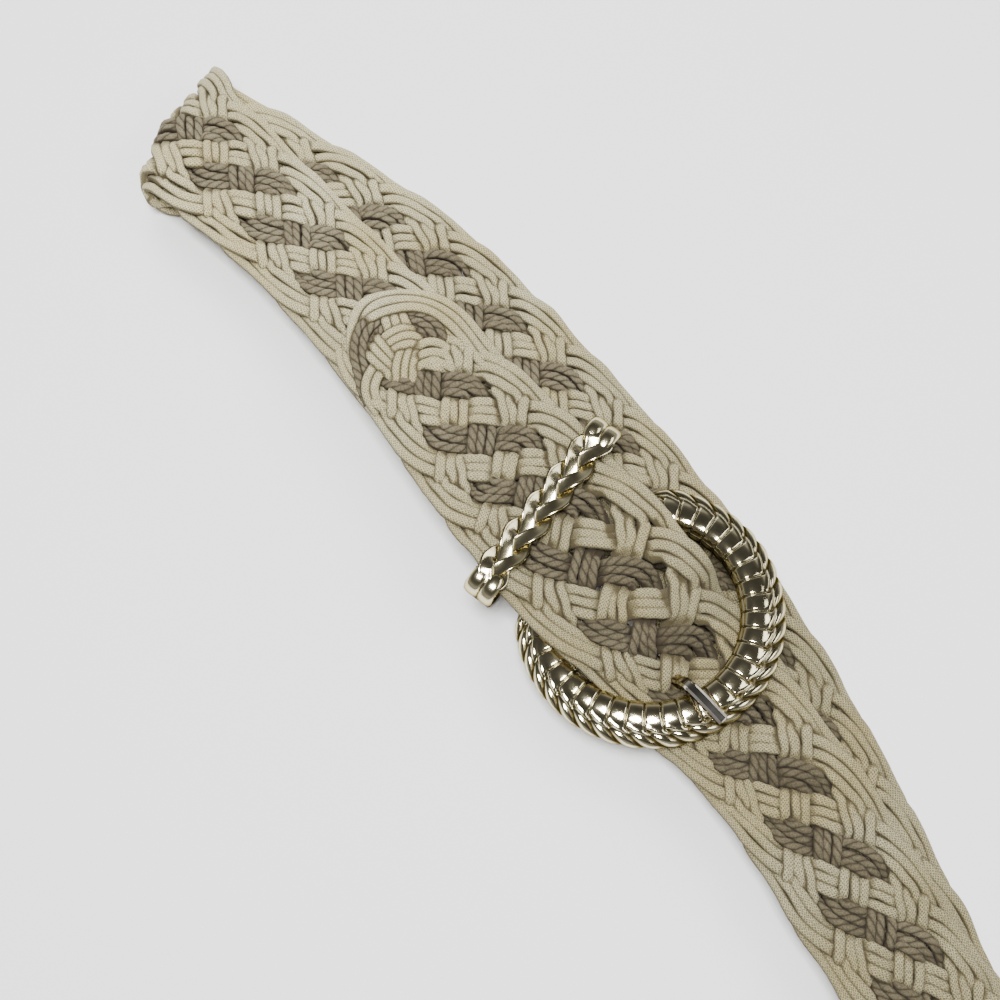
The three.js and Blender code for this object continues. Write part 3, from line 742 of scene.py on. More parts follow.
def cord_material(look, pattern):
    """What both kinds of cord share: specks, darkening along x, and painted shade on the flanks and in the
    recesses. The pattern gives the colour and the height of the cord's own make."""
    material, shader = new_material(look["name"])
    w = Wiring(material)
    place = w.node("ShaderNodeTexCoord").outputs["Object"]
    uv = w.node("ShaderNodeUVMap", uv_map="CordMap").outputs["UV"]
    along, around, _ = w.split(uv)
    fuzz = w.noise(place, look["fuzz"], 3.0)
    plain, height = pattern(w, look, uv, along, around, place, fuzz)
    speckled_and_darker = w.tinted(w.tinted(plain, w.ramp(fuzz, look["speck"])), w.darker_along_x(place))
    # Painted shade: the flanks and the recesses are mixed towards the shade colour.
    flank = w.maths("MULTIPLY", w.flank(around, *look["flank"]), look["flank_share"])
    w.fill(shader, {
        "Base Color": w.mix(w.maths("MAXIMUM", flank, w.recess(*look["recess"])), speckled_and_darker, look["shade"]),
        "Roughness": look["roughness"],
        "Sheen Weight": look["sheen"],
        "Sheen Tint": look["sheen_tint"],
        "Specular IOR Level": look["specular"],
        "Normal": w.bump(height, *look["bump"]),
    })
    return material


def cotton_pattern(w, look, uv, along, around, place, fuzz):
    """Round braided cotton cord: fine slanting stitches in two directions, with painted shade in the pin
    holes.
    """
    wander = w.maths("MULTIPLY", w.noise(uv, 0.6), look["wander"])
    a = w.maths("ADD", w.maths("DIVIDE", along, look["stitch"]), wander)
    b = w.maths("DIVIDE", around, look["stitch"])
    weave = w.maths("MAXIMUM", w.wave(w.maths("ADD", a, b)), w.wave(w.maths("SUBTRACT", a, b)))
    # Painted shade in the pin holes between the stitches.
    hole_shade = w.maths("MULTIPLY", w.share(weave, 0.72, -0.2), look["hole_shade_share"])
    clean = w.ramp(w.noise(place, 28.0, 3.0), look["clean"])
    stained = w.tinted(clean, w.ramp(w.noise(place, 34.0, 1.0), look["stain"]))
    return w.mix(hole_shade, stained, look["hole"]), w.maths("ADD", weave, w.maths("MULTIPLY", fuzz, 0.8))


def rope_pattern(w, look, uv, along, around, place, fuzz):
    """Twisted taupe rope: the plies are in the shape, with painted shade in the grooves between them, and
    fine threads run along each ply.
    """
    turn = w.maths("ADD", w.maths("MULTIPLY", around, PLIES / (math.pi * CORD_DIAMETER)),
                   w.maths("MULTIPLY", along, PLIES / PLY_PITCH))
    ridge = w.maths("ABSOLUTE", w.maths("SINE", w.maths("MULTIPLY", turn, math.pi)))
    groove = w.maths("POWER", w.maths("SUBTRACT", 1.0, ridge), 2.0)
    over, onwards = look["threads"]
    threads = w.wave(w.maths("ADD", w.maths("MULTIPLY", around, over), w.maths("MULTIPLY", along, onwards)))
    clean = w.ramp(w.noise(place, 60.0, 3.0), look["clean"])
    # Painted shade in the grooves between the plies.
    shaded = w.mix(w.maths("MULTIPLY", groove, look["groove_share"]), clean, look["groove"])
    return shaded, w.maths("ADD", w.maths("MULTIPLY", threads, 0.35), fuzz)


# What the metal mirrors at a grazing angle, and how its marks, its wear and the painted shade in its recesses
# change it.
METAL = {
    "edge_tint": (0.3, 0.26, 0.16), "wear": 240.0, "marks": 3200.0, "bump": (0.35, 0.0001),
    "wear_tint": [(0.35, (0.86, 0.84, 0.78)), (0.65, (1.05, 1.05, 1.05))],
    "wear_gloss": 0.08, "wear_height": 1.5, "shade_roughening": 0.45, "shade_power": 3.0,
}


def metal_material(name, light, dark, roughness, grain):
    """Cast pale metal: bright where it stands out, with painted shade in the recesses, finely marked."""
    material, shader = new_material(name)
    w = Wiring(material)
    place = w.node("ShaderNodeTexCoord").outputs["Object"]
    wear = w.noise(place, METAL["wear"], 4.0)
    # Painted shade, read from the clear attribute: it darkens the colour towards the dark one and makes the
    # metal rougher.
    painted_shade = w.recess(0.0, 1.0)
    worn = w.maths("ADD", w.maths("MULTIPLY", wear, METAL["wear_gloss"]), roughness - METAL["wear_gloss"] / 2)
    dull = w.maths("MULTIPLY", w.maths("POWER", painted_shade, METAL["shade_power"]), METAL["shade_roughening"])
    marks = w.maths("ADD", w.noise(place, METAL["marks"]), w.maths("MULTIPLY", wear, METAL["wear_height"]))
    w.fill(shader, {
        "Base Color": w.tinted(w.mix(painted_shade, light, dark), w.ramp(wear, METAL["wear_tint"])),
        "Metallic": 1.0,
        "Specular Tint": METAL["edge_tint"],
        "Roughness": w.maths("ADD", worn, dull),
        "Normal": w.bump(w.maths("MULTIPLY", marks, grain), *METAL["bump"]),
    })
    return material


cotton = cord_material(COTTON, cotton_pattern)
rope = cord_material(ROPE, rope_pattern)
# Each metal: its colour, the colour of its painted shade, its roughness and the strength of its marks.
pale_gold = metal_material("pale_gold_cast", (0.70, 0.64, 0.43), (0.06, 0.045, 0.014), 0.10, 0.3)
brushed = metal_material("pale_gold_brushed", (0.66, 0.60, 0.39), (0.05, 0.036, 0.008), 0.15, 0.5)
polished = metal_material("pale_gold_polished", (0.55, 0.52, 0.47), (0.03, 0.025, 0.018), 0.08, 0.05)


# Where the bar is, the way from it to the far side of the ring, and the way along it.
BAR_MIDDLE = np.array([BAR["x"], BAR["y"], BAR["z"]])
BAR_OUT = turned(BAR["yaw"])
BAR_ALONG = turned(BAR["yaw"] + 90)


# Cords. Lines are the braid's grid lines, counted back from the bar.
TIP_STOP = 6.0
TIP_CORDS_X = -43.5
TIP_CORD_SIZE = 0.94
TIP_X, TIP_HEIGHT, TIP_ALONG = -strap.points[-200:, 0], strap.points[-200:, 2], strap.along[-200:]
TIP_CORDS_FROM = float(np.interp(-TIP_CORDS_X, TIP_X, TIP_ALONG))
COUNT_AT_BAR = COUNTS[0] - LENGTHS[0] / (LENGTHS[1] - LENGTHS[0])
COUNT_AT_TIP = COUNTS[-1] + (strap.length - TIP_STOP - LENGTHS[-1]) / (LENGTHS[-1] - LENGTHS[-2])
FIRST_LINE = int(math.ceil(-2 * STEPS_PER_UNIT * COUNT_AT_BAR)) - 2
LAST_LINE = -int(2 * STEPS_PER_UNIT * COUNT_AT_TIP)
LINES = np.arange(FIRST_LINE, LAST_LINE - 1, -1)

# How a cord lies: how much of the strap's narrowing it takes up, how it sinks under the cords of
# the tip, how it wanders, and how much wider or narrower its neighbours let it be.
LAY = {
    "gather": 0.55, "least_gather": 0.7, "most_gather": 1.22, "sink_run": 3.0, "sink_flat": 0.5, "sink": 1.2,
    "wander": 0.55, "wander_span": 15, "least_room": 0.85, "most_room": 1.15,
}

# How far each strand's and each cord's stitches start apart from the first one's.
STITCH_SHIFT = {"strand": 37.0, "cord": 11.0}

# The cords part round the prong in this stretch of the plan.
PARTING = {"from": 75.0, "to": 95.0, "middle": 4.0, "reach": 12.0, "gap": 0.1, "ease": 1.2, "samples": 8}

# The near corner of the fold at the tip's side is squashed back along the belt.
FOLD_CORNER = {"from": -116.0, "run": 40.0, "back": 12.0}

rng = np.random.default_rng(7)


def prong_points():
    """The middle line of the prong in plan coordinates."""
    spots = BAR_MIDDLE + BAR_ALONG * PRONG["offset"] + PRONG_LINE[:, :1] * BAR_OUT + PRONG_LINE[:, 1:] * UP
    shares = (np.arange(PARTING["samples"]) / PARTING["samples"])[None, :, None]
    return (spots[:-1, None] * (1 - shares) + spots[1:, None] * shares).reshape(-1, 3)


PRONG_SPOTS = prong_points()


def part_round_prong(points):
    """Moves cord points that lie inside the prong sideways until they clear it."""
    keep = CORD_DIAMETER / 2 + PRONG["width"] / 2 + PARTING["gap"]
    near = ((points[:, 0] > PARTING["from"]) & (points[:, 0] < PARTING["to"])
            & (np.abs(points[:, 1] - PARTING["middle"]) < PARTING["reach"]))
    for i in np.nonzero(near)[0]:
        gap = points[i] - PRONG_SPOTS
        distance = np.linalg.norm(gap, axis=1)
        closest = int(np.argmin(distance))
        if distance[closest] < keep:
            side = 1.0 if gap[closest][1] >= 0 else -1.0
            missing = keep - abs(gap[closest][1])
            share = min(1.0, (keep - distance[closest]) / PARTING["ease"])
            points[i, 1] += side * max(missing, 0.0) * share


def settle_corner(points, share):
    near = np.clip((FOLD_CORNER["from"] - points[:, 0]) / FOLD_CORNER["run"], 0, 1)
    points[:, 0] += FOLD_CORNER["back"] * near * np.clip(-share, 0, 1) ** 2


def cord_points(kind, strand, c):
    """A cord's middle line in the plan, with the way out of the strap, how clear of the others its
    corners are, and how wide it lies."""
    middle, sideways, height, room, clear = braid.cord(kind, strand, c, LINES)
    along = np.clip(length_at(-LINES / (2.0 * STEPS_PER_UNIT)), 0.0, strap.length - TIP_STOP)
    taper = strap.taper(along)
    left = strap.read(strap.left, along) * taper
    right = strap.read(strap.right, along) * taper
    scale = np.where(middle < 0, left, right) / BRAID_HALF_WIDTH
    gather = np.clip(1 - LAY["gather"] + LAY["gather"] * scale, LAY["least_gather"], LAY["most_gather"])
    across = middle * scale + (sideways - middle) * gather
    sink = np.clip((along - TIP_CORDS_FROM) / LAY["sink_run"], 0.0, 1.0)
    height = height * (1 - LAY["sink_flat"] * sink) - LAY["sink"] * sink
    points, outer = strap.place(along, across, height)
    wander = rng.normal(0.0, 1.0, (len(points), 3))
    kernel = np.hanning(LAY["wander_span"])
    kernel /= kernel.sum()
    for axis in range(3):
        points[:, axis] += LAY["wander"] * np.convolve(wander[:, axis], kernel, mode="same")
    part_round_prong(points)
    settle_corner(points, across / np.where(across < 0, left, right))
    points[:, 2] = np.maximum(points[:, 2], CORD_DIAMETER / 2)
    return points, outer, clear, np.clip(room * gather, LAY["least_room"], LAY["most_room"])


def cream_strand(strand):
    parts = MeshParts()
    for c in range(CORDS):
        points, outer, clear, widen = cord_points(CREAM, strand, c)
        start = STITCH_SHIFT["strand"] * strand + STITCH_SHIFT["cord"] * c
        parts.add_tube(points, outer, pressed_radii(widen, CORD_SIDES), CORD_SIDES, start, clear)
    return parts.build(f"cream_strand_{strand + 1}", cotton)


def add_rope(parts, points, outer, clear):
    """A tube whose section has a lobe for each ply, turning along it."""
    points, outer, clear = (finer(values, 2) for values in (points, outer, clear))
    turn = PLIES * (np.arange(ROPE_SIDES)[None, :] / ROPE_SIDES + running_length(points)[:, None] / PLY_PITCH)
    radii = CORD_DIAMETER / 2 * (ROPE_LOBE["least"] + ROPE_LOBE["rise"] * np.abs(np.sin(np.pi * turn)))
    parts.add_tube(points, outer, radii, ROPE_SIDES, clear=clear)


def taupe_strand(strand):
    parts = MeshParts()
    for c in range(CORDS):
        points, outer, clear, _ = cord_points(TAUPE, strand, c)
        add_rope(parts, points, outer, clear)
    return parts.build(f"taupe_strand_{strand + 1}", rope)


# The last cords at the tip, given one by one: x, y in the plan and the height above the strap's middle. The
# cream cords arch over the tip and the two taupe strands end in arcs inside them.
TIP_ARCH = {
    "outer": [
        (-30.5, 25.8, -0.2), (-36.0, 25.6, 1.0), (-43.8, 26.0, 1.4), (-47.5, 26.0, 1.5), (-52.6, 25.2, 1.5),
        (-57.2, 23.4, 1.5), (-61.6, 20.2, 1.5), (-65.6, 15.6, 1.5), (-68.4, 11.2, 1.5), (-69.8, 7.4, 1.5),
        (-69.5, 3.9, 1.5), (-67.6, 0.3, 1.4), (-64.3, -3.2, 1.1), (-60.6, -6.0, 0.4), (-56.4, -8.3, -0.5),
        (-51.0, -10.5, -1.6), (-47.5, -11.6, -2.9),
    ],
    "middle": [
        (-29.0, 23.4, 0.2), (-35.0, 23.0, 1.3), (-45.9, 23.6, 1.9), (-51.4, 22.8, 2.0), (-56.5, 20.9, 2.0),
        (-61.1, 17.6, 2.0), (-64.5, 13.7, 2.0), (-66.6, 9.5, 1.9), (-67.0, 6.0, 1.5), (-66.6, 3.4, 0.4),
        (-65.8, 1.5, -0.9),
    ],
    "inner": [
        (-28.0, 20.8, 0.0), (-34.0, 20.6, 1.2), (-40.0, 21.2, 1.8), (-46.6, 21.2, 2.1), (-52.8, 20.1, 2.3),
        (-57.6, 17.6, 2.4), (-60.9, 14.0, 2.4), (-63.2, 9.6, 2.3), (-64.4, 6.2, 2.0), (-64.9, 3.0, 0.9),
        (-64.6, 0.9, -0.6),
    ],
}
TIP_BLOCKS = {
    "first_down": [
        [(-64.0, 9.0, 0.6), (-62.8, 8.2, 1.1), (-59.6, 6.7, 1.4), (-56.3, 5.4, 0.2)],
        [(-62.8, 11.2, 0.6), (-61.3, 10.4, 1.1), (-58.0, 9.1, 1.4), (-54.5, 7.6, 0.2)],
        [(-61.0, 13.4, 0.6), (-59.6, 12.5, 1.1), (-56.3, 11.5, 1.4), (-52.7, 10.2, 0.2)],
    ],
    "bridge": [
        [(-56.6, 1.2, 0.4), (-57.2, 4.0, 1.6), (-56.8, 6.9, 2.3), (-55.6, 10.0, 2.1), (-53.2, 12.4, 1.1)],
        [(-54.4, 0.8, 0.4), (-54.9, 3.4, 1.6), (-54.3, 7.0, 2.4), (-52.9, 9.9, 2.1), (-50.1, 12.0, 1.0)],
        [(-52.2, 0.6, 0.4), (-52.6, 3.0, 1.5), (-51.9, 5.9, 2.3), (-50.5, 8.6, 2.0), (-47.6, 10.8, 0.9)],
    ],
    "slant": [
        [(-59.8, 2.3, 0.9), (-57.6, 1.9, 1.9), (-54.9, 1.7, 2.2), (-51.2, 1.8, 1.6), (-48.1, 1.8, 0.2)],
        [(-58.6, -0.4, 0.9), (-56.8, -0.5, 1.9), (-54.2, -0.7, 2.3), (-50.6, -0.5, 1.8), (-46.8, 0.0, 0.2)],
        [(-57.2, -3.0, 0.9), (-55.5, -3.0, 1.8), (-53.1, -3.1, 2.2), (-49.3, -2.7, 1.8), (-45.4, -2.0, 0.2)],
    ],
    "second_down": [
        [(-53.0, 8.6, 0.2), (-51.9, 6.9, 1.0), (-50.2, 3.9, 1.9), (-48.0, 1.0, 2.0), (-44.8, -2.0, 0.9)],
        [(-51.4, 10.0, 0.2), (-50.5, 8.3, 1.0), (-48.4, 5.2, 1.9), (-46.2, 2.6, 2.0), (-43.0, -0.2, 0.9)],
        [(-50.0, 11.2, 0.2), (-49.0, 9.7, 1.0), (-46.6, 6.8, 1.9), (-44.4, 4.2, 2.0), (-41.4, 1.4, 0.9)],
    ],
    "right_arc": [
        [(-48.6, 6.6, 0.2), (-48.7, 9.0, 1.6), (-48.0, 12.2, 2.2), (-45.8, 14.6, 2.1), (-41.9, 16.0, 1.2),
         (-38.0, 16.4, 0.0)],
        [(-46.2, 4.9, 0.2), (-46.2, 7.2, 1.6), (-45.3, 10.4, 2.2), (-43.0, 13.0, 2.1), (-38.9, 14.6, 1.0)],
        [(-43.9, 3.0, 0.2), (-43.9, 5.2, 1.6), (-42.9, 8.6, 2.2), (-40.8, 11.2, 2.0), (-36.8, 13.4, 0.8)],
    ],
    "left_down": [
        [(-52.8, -1.4, 0.3), (-52.3, -4.2, 1.4), (-51.0, -7.2, 2.0), (-48.8, -10.0, 1.9), (-45.2, -11.8, 1.3),
         (-40.6, -12.2, 0.2)],
        [(-50.0, -1.0, 0.3), (-49.5, -3.6, 1.4), (-48.4, -6.2, 2.0), (-46.2, -8.8, 1.9), (-42.4, -10.2, 1.3),
         (-38.0, -10.4, 0.2)],
    ],
}
TIP_ROPES = {
    "left_arc": [
        [(-62.6, 8.6, -0.2), (-64.3, 5.4, 0.6), (-64.9, 2.0, 1.2), (-63.8, -1.2, 1.5), (-61.2, -4.2, 1.6),
         (-57.8, -6.9, 1.6), (-53.3, -9.2, 1.4), (-48.8, -11.4, 0.8), (-44.8, -12.4, -0.4)],
        [(-61.4, 9.6, -0.2), (-62.5, 6.2, 0.6), (-62.6, 2.8, 1.2), (-61.4, -0.2, 1.5), (-59.0, -3.0, 1.6),
         (-55.8, -5.4, 1.5), (-51.6, -7.6, 1.0), (-47.6, -9.2, -0.4)],
        [(-60.2, 9.0, -0.2), (-60.4, 6.2, 0.5), (-59.8, 3.4, 1.0), (-58.6, 0.6, 1.2), (-56.6, -1.8, 1.2),
         (-53.8, -3.8, 0.9), (-50.4, -5.4, -0.4)],
    ],
    "right_arc": [
        [(-61.4, 13.0, 0.0), (-59.0, 14.4, 0.7), (-56.4, 16.4, 1.3), (-53.2, 17.9, 1.6), (-49.9, 18.2, 1.6),
         (-46.8, 17.3, 1.3), (-43.6, 15.8, 0.2)],
        [(-58.6, 12.4, 0.0), (-56.6, 13.9, 0.9), (-53.6, 15.3, 1.4), (-50.2, 15.6, 1.4), (-46.6, 14.4, 0.2)],
        [(-56.4, 11.2, 0.0), (-54.4, 12.3, 0.8), (-51.6, 13.1, 1.1), (-48.0, 12.6, 0.0)],
    ],
}


def tip_route(spots):
    """A smooth route through points of the plan that are measured up from the strap's middle."""
    points = np.array(spots, dtype=float)
    points[:, 2] += np.interp(-points[:, 0], TIP_X, TIP_HEIGHT)
    return finer(points, 5)


TIP_GROUPS = [{"arch": TIP_ARCH.values()}, TIP_BLOCKS, TIP_ROPES]
TIP_LINES = [tip_route(spots) for groups in TIP_GROUPS for group in groups.values() for spots in group]


def tip_cords(name, groups, material, lobed):
    parts = MeshParts()
    sides = ROPE_SIDES if lobed else CORD_SIDES
    for spots in (spots for group in groups.values() for spots in group):
        points = tip_route(spots)
        up = upright(len(points))
        radii = pressed_radii(np.full(len(points), TIP_CORD_SIZE), sides)
        rings, _ = tube_arrays(points, up, radii, sides)
        others = np.concatenate([line for line in TIP_LINES if not np.array_equal(line, points)])
        clear = clearance(rings, others)
        if lobed:
            add_rope(parts, points, up, clear)
        else:
            parts.add_tube(points, up, radii, sides, points[0, 0], clear)
    return parts.build(name, material)


LOOPS = {
    "count": 11, "reach": 12.3, "radius": 1.3, "gap": 0.3, "turn": 0.62, "steps": 25, "tail": 9.0,
    "tail_rise": 1.4, "off_prong": 1.6, "sides": 10,
}


def bar_loops():
    """The turns of cord round the hidden bar, at the start of the braid."""
    parts = MeshParts()
    radius = BAR["diameter"] / 2 + LOOPS["gap"] + LOOPS["radius"]
    angles = np.linspace(-math.pi * LOOPS["turn"], math.pi * LOOPS["turn"], LOOPS["steps"])[:, None]
    turn = BAR_OUT * radius * np.cos(angles) + UP * radius * np.sin(angles)
    ends = [UP * sign * LOOPS["tail_rise"] - BAR_OUT * LOOPS["tail"] for sign in (-1, 1)]
    for place in np.linspace(-LOOPS["reach"], LOOPS["reach"], LOOPS["count"]):
        if abs(place - PRONG["offset"]) > PRONG["width"] / 2 + LOOPS["off_prong"]:
            points = finer(BAR_MIDDLE + BAR_ALONG * place + np.vstack([ends[0], turn, ends[1]]), 2)
            up = np.tile(BAR_ALONG, (len(points), 1))
            parts.add_tube(points, up, np.full(len(points), LOOPS["radius"]), LOOPS["sides"])
    return parts.build("bar_loops", cotton)


strap_pieces = [cream_strand(k) for k in range(STRAND_KINDS[CREAM]["strands"])]
strap_pieces += [taupe_strand(j) for j in range(STRAND_KINDS[TAUPE]["strands"])]
strap_pieces += [
    tip_cords("tip_arch_cords", TIP_GROUPS[0], cotton, False),
    tip_cords("tip_block_cords", TIP_BLOCKS, cotton, False),
    tip_cords("tip_taupe_cords", TIP_ROPES, rope, True),
    bar_loops(),
]
for item in strap_pieces:
    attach(item, "root")
    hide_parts("braided_strap")


# Buckle frame.
# The frame's cross-section as distance from the middle of the limb, away from the ring's
# centre, and height. It runs from the inner lip over the domed band and down the outer flank.
FRAME_SECTION = np.array([
    (-5.7, 2.0), (-4.6, 3.1), (-2.8, 3.7), (-0.6, 3.65), (1.2, 3.2), (2.4, 2.5), (3.9, 1.9), (5.3, 0.9),
    (6.2, -0.5), (6.1, -2.0), (5.0, -3.2), (1.5, -3.7), (-3.0, -3.6), (-5.8, -2.6), (-6.4, -0.2),
])
SECTION_PARTS = 4
LIP_START = 13.2
DOME_END = 5
FLANK_END = 10
BACK = -9.0
BAND_PARTS = 20
DOME = {"height": 0.24, "square": 0.4, "lean": 0.18, "lean_from": 0.5, "lean_power": 1.5, "lean_end": 0.064}
GROOVE = {"depth": 0.55, "width": 0.05}
RIM = {"depth": 0.35, "at": 0.10, "width": 0.035}
BLOCK = {"height": 0.35, "sink": 0.45, "reach": 2}
LOBE = {"height": 0.85, "square": 0.75, "sink": 0.45, "lean": 1.35, "end": 1.05, "ease": 6}
WIRE = {"height": 0.32, "width": 0.07, "slant": 0.28, "at": -0.02}
VALLEY = {"depth": 0.5, "width": 0.08, "at": 0.16}
EDGE_EASE = 8
# Painted shade on the frame: where it starts in the hollows of the relief and how deep they are when it is
# full, and how strongly the outer flank darkens, from where and over what run.
PAINTED_SHADE = {"from": 0.05, "depth": 0.4, "flank": 0.9, "flank_from": 5.2, "flank_run": 2.0}
TAPER = {"angle": 14.0, "width": 0.52, "height": 0.26}
ROD = {"bend_out": 0.2, "bend_along": 1.8, "thicker": 0.8, "run": 4, "parts": 8, "sides": 24}


def hump(distance, width):
    return np.exp(-(distance / width) ** 2)


def band_relief(theta_bands, place):
    """Height of the frame's relief: domed bands on top, and twisted lobes down the flank."""
    dome_share = place / DOME_END
    flank_share = (place - DOME_END) / (FLANK_END - DOME_END)
    dome_lean = DOME["lean"] * np.clip(dome_share - DOME["lean_from"], 0, 1) ** DOME["lean_power"]
    lean = np.where(dome_share < 1, dome_lean, DOME["lean_end"] + LOBE["lean"] * flank_share)
    share = (theta_bands - lean) % 1.0
    swell = np.sin(np.pi * share)
    groove = GROOVE["depth"] * hump(np.minimum(share, 1 - share), GROOVE["width"])
    rim = RIM["depth"] * hump(dome_share - RIM["at"], RIM["width"])
    dome = DOME["height"] * swell ** DOME["square"] - groove - rim
    lobe = LOBE["height"] * np.abs(swell) ** LOBE["square"] - LOBE["sink"]
    off_border = flank_share - WIRE["slant"] * (share - 0.5)
    wire = WIRE["height"] * hump(off_border - WIRE["at"], WIRE["width"])
    valley = VALLEY["depth"] * hump(off_border - VALLEY["at"], VALLEY["width"])
    block = BLOCK["height"] * swell ** DOME["square"] - BLOCK["sink"]
    on_dome = np.clip((1 - dome_share) * EDGE_EASE + 0.5, 0, 1) * (place >= 0)
    on_flank = (np.clip((dome_share - 1) * EDGE_EASE + 0.5, 0, 1)
                * np.clip((LOBE["end"] - flank_share) * LOBE["ease"], 0, 1))
    on_border = (place >= 0) * (flank_share < 1)
    on_block = (place < 0) * (place > -BLOCK["reach"])
    return block * on_block + on_dome * dome + on_flank * lobe + (wire - valley) * on_border


def at_bar(points, tilt):
    """Moves points made round the bar's middle, with X away from the bar, to where the bar is."""
    turn = Matrix.Rotation(math.radians(BAR["yaw"]), 3, "Z") @ Matrix.Rotation(-math.radians(tilt), 3, "Y")
    return points @ np.array(turn).T + BAR_MIDDLE


def frame_curve():
    """The cross-section as a fine closed curve, with its outward normals and the place of each
    point, counted in points of the section. The inner lip counts below 0."""
    spots = [np.roll(FRAME_SECTION, shift, axis=0) for shift in (1, 0, -1, -2)]
    curve = between(*spots, SECTION_PARTS)
    run = normalised(np.roll(curve, -1, axis=0) - np.roll(curve, 1, axis=0))
    place = np.arange(len(curve)) / SECTION_PARTS
    place = np.where(place > LIP_START, place - len(FRAME_SECTION), place)
    place = np.where(place > FLANK_END + 1, BACK, place)
    return curve, np.stack([-run[:, 1], run[:, 0]], axis=1), place[None, :]


def buckle_frame():
    parts = MeshParts()
    middle = RING["middle"]
    limb_end = 180 - math.degrees(math.acos(RING["bar_offset"] / middle))
    band_angle = 360 / BANDS_PER_TURN
    theta = np.linspace(-limb_end, limb_end, int(2 * limb_end / band_angle * BAND_PARTS))[:, None]
    curve, normal, place = frame_curve()
    fade = np.clip((np.abs(theta) - (limb_end - TAPER["angle"])) / TAPER["angle"], 0, 1)
    relief = band_relief(theta / band_angle, place) * (1 - fade)
    out = middle + (curve[None, :, 0] + normal[None, :, 0] * relief) * (1 - TAPER["width"] * fade)
    up = (curve[None, :, 1] + normal[None, :, 1] * relief) * (1 - TAPER["height"] * fade)
    angle = np.radians(theta)
    rings = np.stack([np.cos(angle) * out + RING["bar_offset"], np.sin(angle) * out, up], axis=-1)
    # Painted shade: darker in the hollows of the relief and down the outer flank, passed on through the clear
    # attribute.
    down_flank = PAINTED_SHADE["flank"] * np.clip((place - PAINTED_SHADE["flank_from"]) / PAINTED_SHADE["flank_run"], 0, 1)
    painted_shade = (-relief - PAINTED_SHADE["from"]) / PAINTED_SHADE["depth"] + down_flank
    parts.add_grid(at_bar(rings, BAR["tilt"]), cap=True, clear=1 - np.clip(painted_shade, 0, 1))
    end = math.radians(limb_end)
    limb = np.array([math.cos(end) * middle + RING["bar_offset"], math.sin(end) * middle, 0.0])
    bend = np.array([ROD["bend_out"], BAR["half_length"] + ROD["bend_along"], 0.0])
    start = np.array([0.0, BAR["half_length"], 0.0])
    flip = np.array([1.0, -1.0, 1.0])
    corners = [limb, bend, start, np.zeros(3), start * flip, bend * flip, limb * flip]
    rod = finer(np.array(corners), ROD["parts"])
    past_bar = np.clip((np.abs(rod[:, 1]) - BAR["half_length"]) / ROD["run"], 0, 1)
    radii = BAR["diameter"] / 2 + ROD["thicker"] * past_bar
    parts.add_tube(at_bar(rod, BAR["tilt"]), upright(len(rod)), radii, ROD["sides"])
    return parts.build("buckle_frame_cast", pale_gold)


# Prong. Its shank lies in the shade of the cords until it shows, this far from the bar.
PRONG_SHADE = {"to": 41.0, "run": 3.0}
PRONG_PARTS = 6
EYE_PARTS = 32


def prong_bar():
    parts = MeshParts()
    line = finer(np.insert(PRONG_LINE, 1, 0.0, axis=1), PRONG_PARTS)
    line = line[line[:, 0] > PRONG["eye_outer"] / 2 - 1]
    run = normalised(np.gradient(line, axis=0))
    up = np.stack([-run[:, 2], np.zeros(len(run)), run[:, 0]], axis=1)
    half, high, bevel, soft = PRONG["width"] / 2, PRONG["half_height"], PRONG["bevel"], PRONG["soft"]
    corner = [(half, high - bevel), (half - soft, high - bevel + soft), (half - bevel, high - soft),
              (half - bevel - soft, high)]
    upper = corner + [(-y, z) for y, z in corner[::-1]]
    section = np.array(upper + [(-y, -z) for y, z in upper])
    aside = np.array([0.0, 1.0, 0.0])
    rings = line[:, None, :] + up[:, None, :] * section[None, :, 1, None] + aside * section[None, :, 0, None]
    centre = rings[-1].mean(axis=0)
    tip = centre + (rings[-1] - centre) * PRONG["tip_size"] + np.array([PRONG["tip_reach"], 0.0, 0.0])
    rings = np.concatenate([rings, tip[None]])
    clear = np.clip((rings[:, :1, 0] - PRONG_SHADE["to"]) / PRONG_SHADE["run"], 0, 1)
    parts.add_grid(at_bar(rings + aside * PRONG["offset"], 0), cap=True, clear=clear)
    inner, outer = PRONG["hole"] / 2, PRONG["eye_outer"] / 2
    profile = [(inner, -half), (outer, -half), (outer, half), (inner, half)]
    eye = [[(r * math.cos(a), y + PRONG["offset"], r * math.sin(a)) for r, y in profile]
           for a in np.arange(EYE_PARTS) / EYE_PARTS * 2 * np.pi]
    # The eye is painted wholly in shade.
    parts.add_grid(at_bar(np.array(eye), 0), closed_along=True, clear=0.0)
    return parts.build("prong_bar", polished, PRONG["crease"])


# Keeper. Three ribbons make the plait, and two smooth pads stand at each of its ends.
RIBBONS = 3
RIBBON = {
    "width": 3.9, "thickness": 1.1, "curl": 0.22, "edge": 0.35, "swing": 3.5, "least_swing": 0.55,
    "rise": 0.85, "repeat": 30.6, "phase": 0.6, "corner": 0.93, "roll": 0.36, "level": 0.35, "beyond": 2.0,
    "ease": 4.0, "roll_ease": 5.0, "samples": 260, "painted_shade": 0.55,
}
RIBBON_SHARES = np.array([-1, -0.9, -0.72, -0.5, -0.25, 0, 0.25, 0.5, 0.72, 0.9, 1])
PAD = {
    "before": 3.4, "after": 2.6, "level": 0.5, "half_width": 2.45, "half_height": 1.15, "aside": 2.35,
    "square": 2.4, "end_square": 3.5, "least": 0.1, "samples": 24, "sides": 20,
}
LOOP_BAND = {
    "half_width": 3.2, "half_thickness": 0.75, "edge": 0.3, "edge_share": 0.1, "sink": 0.1, "clear": 0.1,
    "corner_steps": 8,
}
CORNER_RADIUS = 3.0
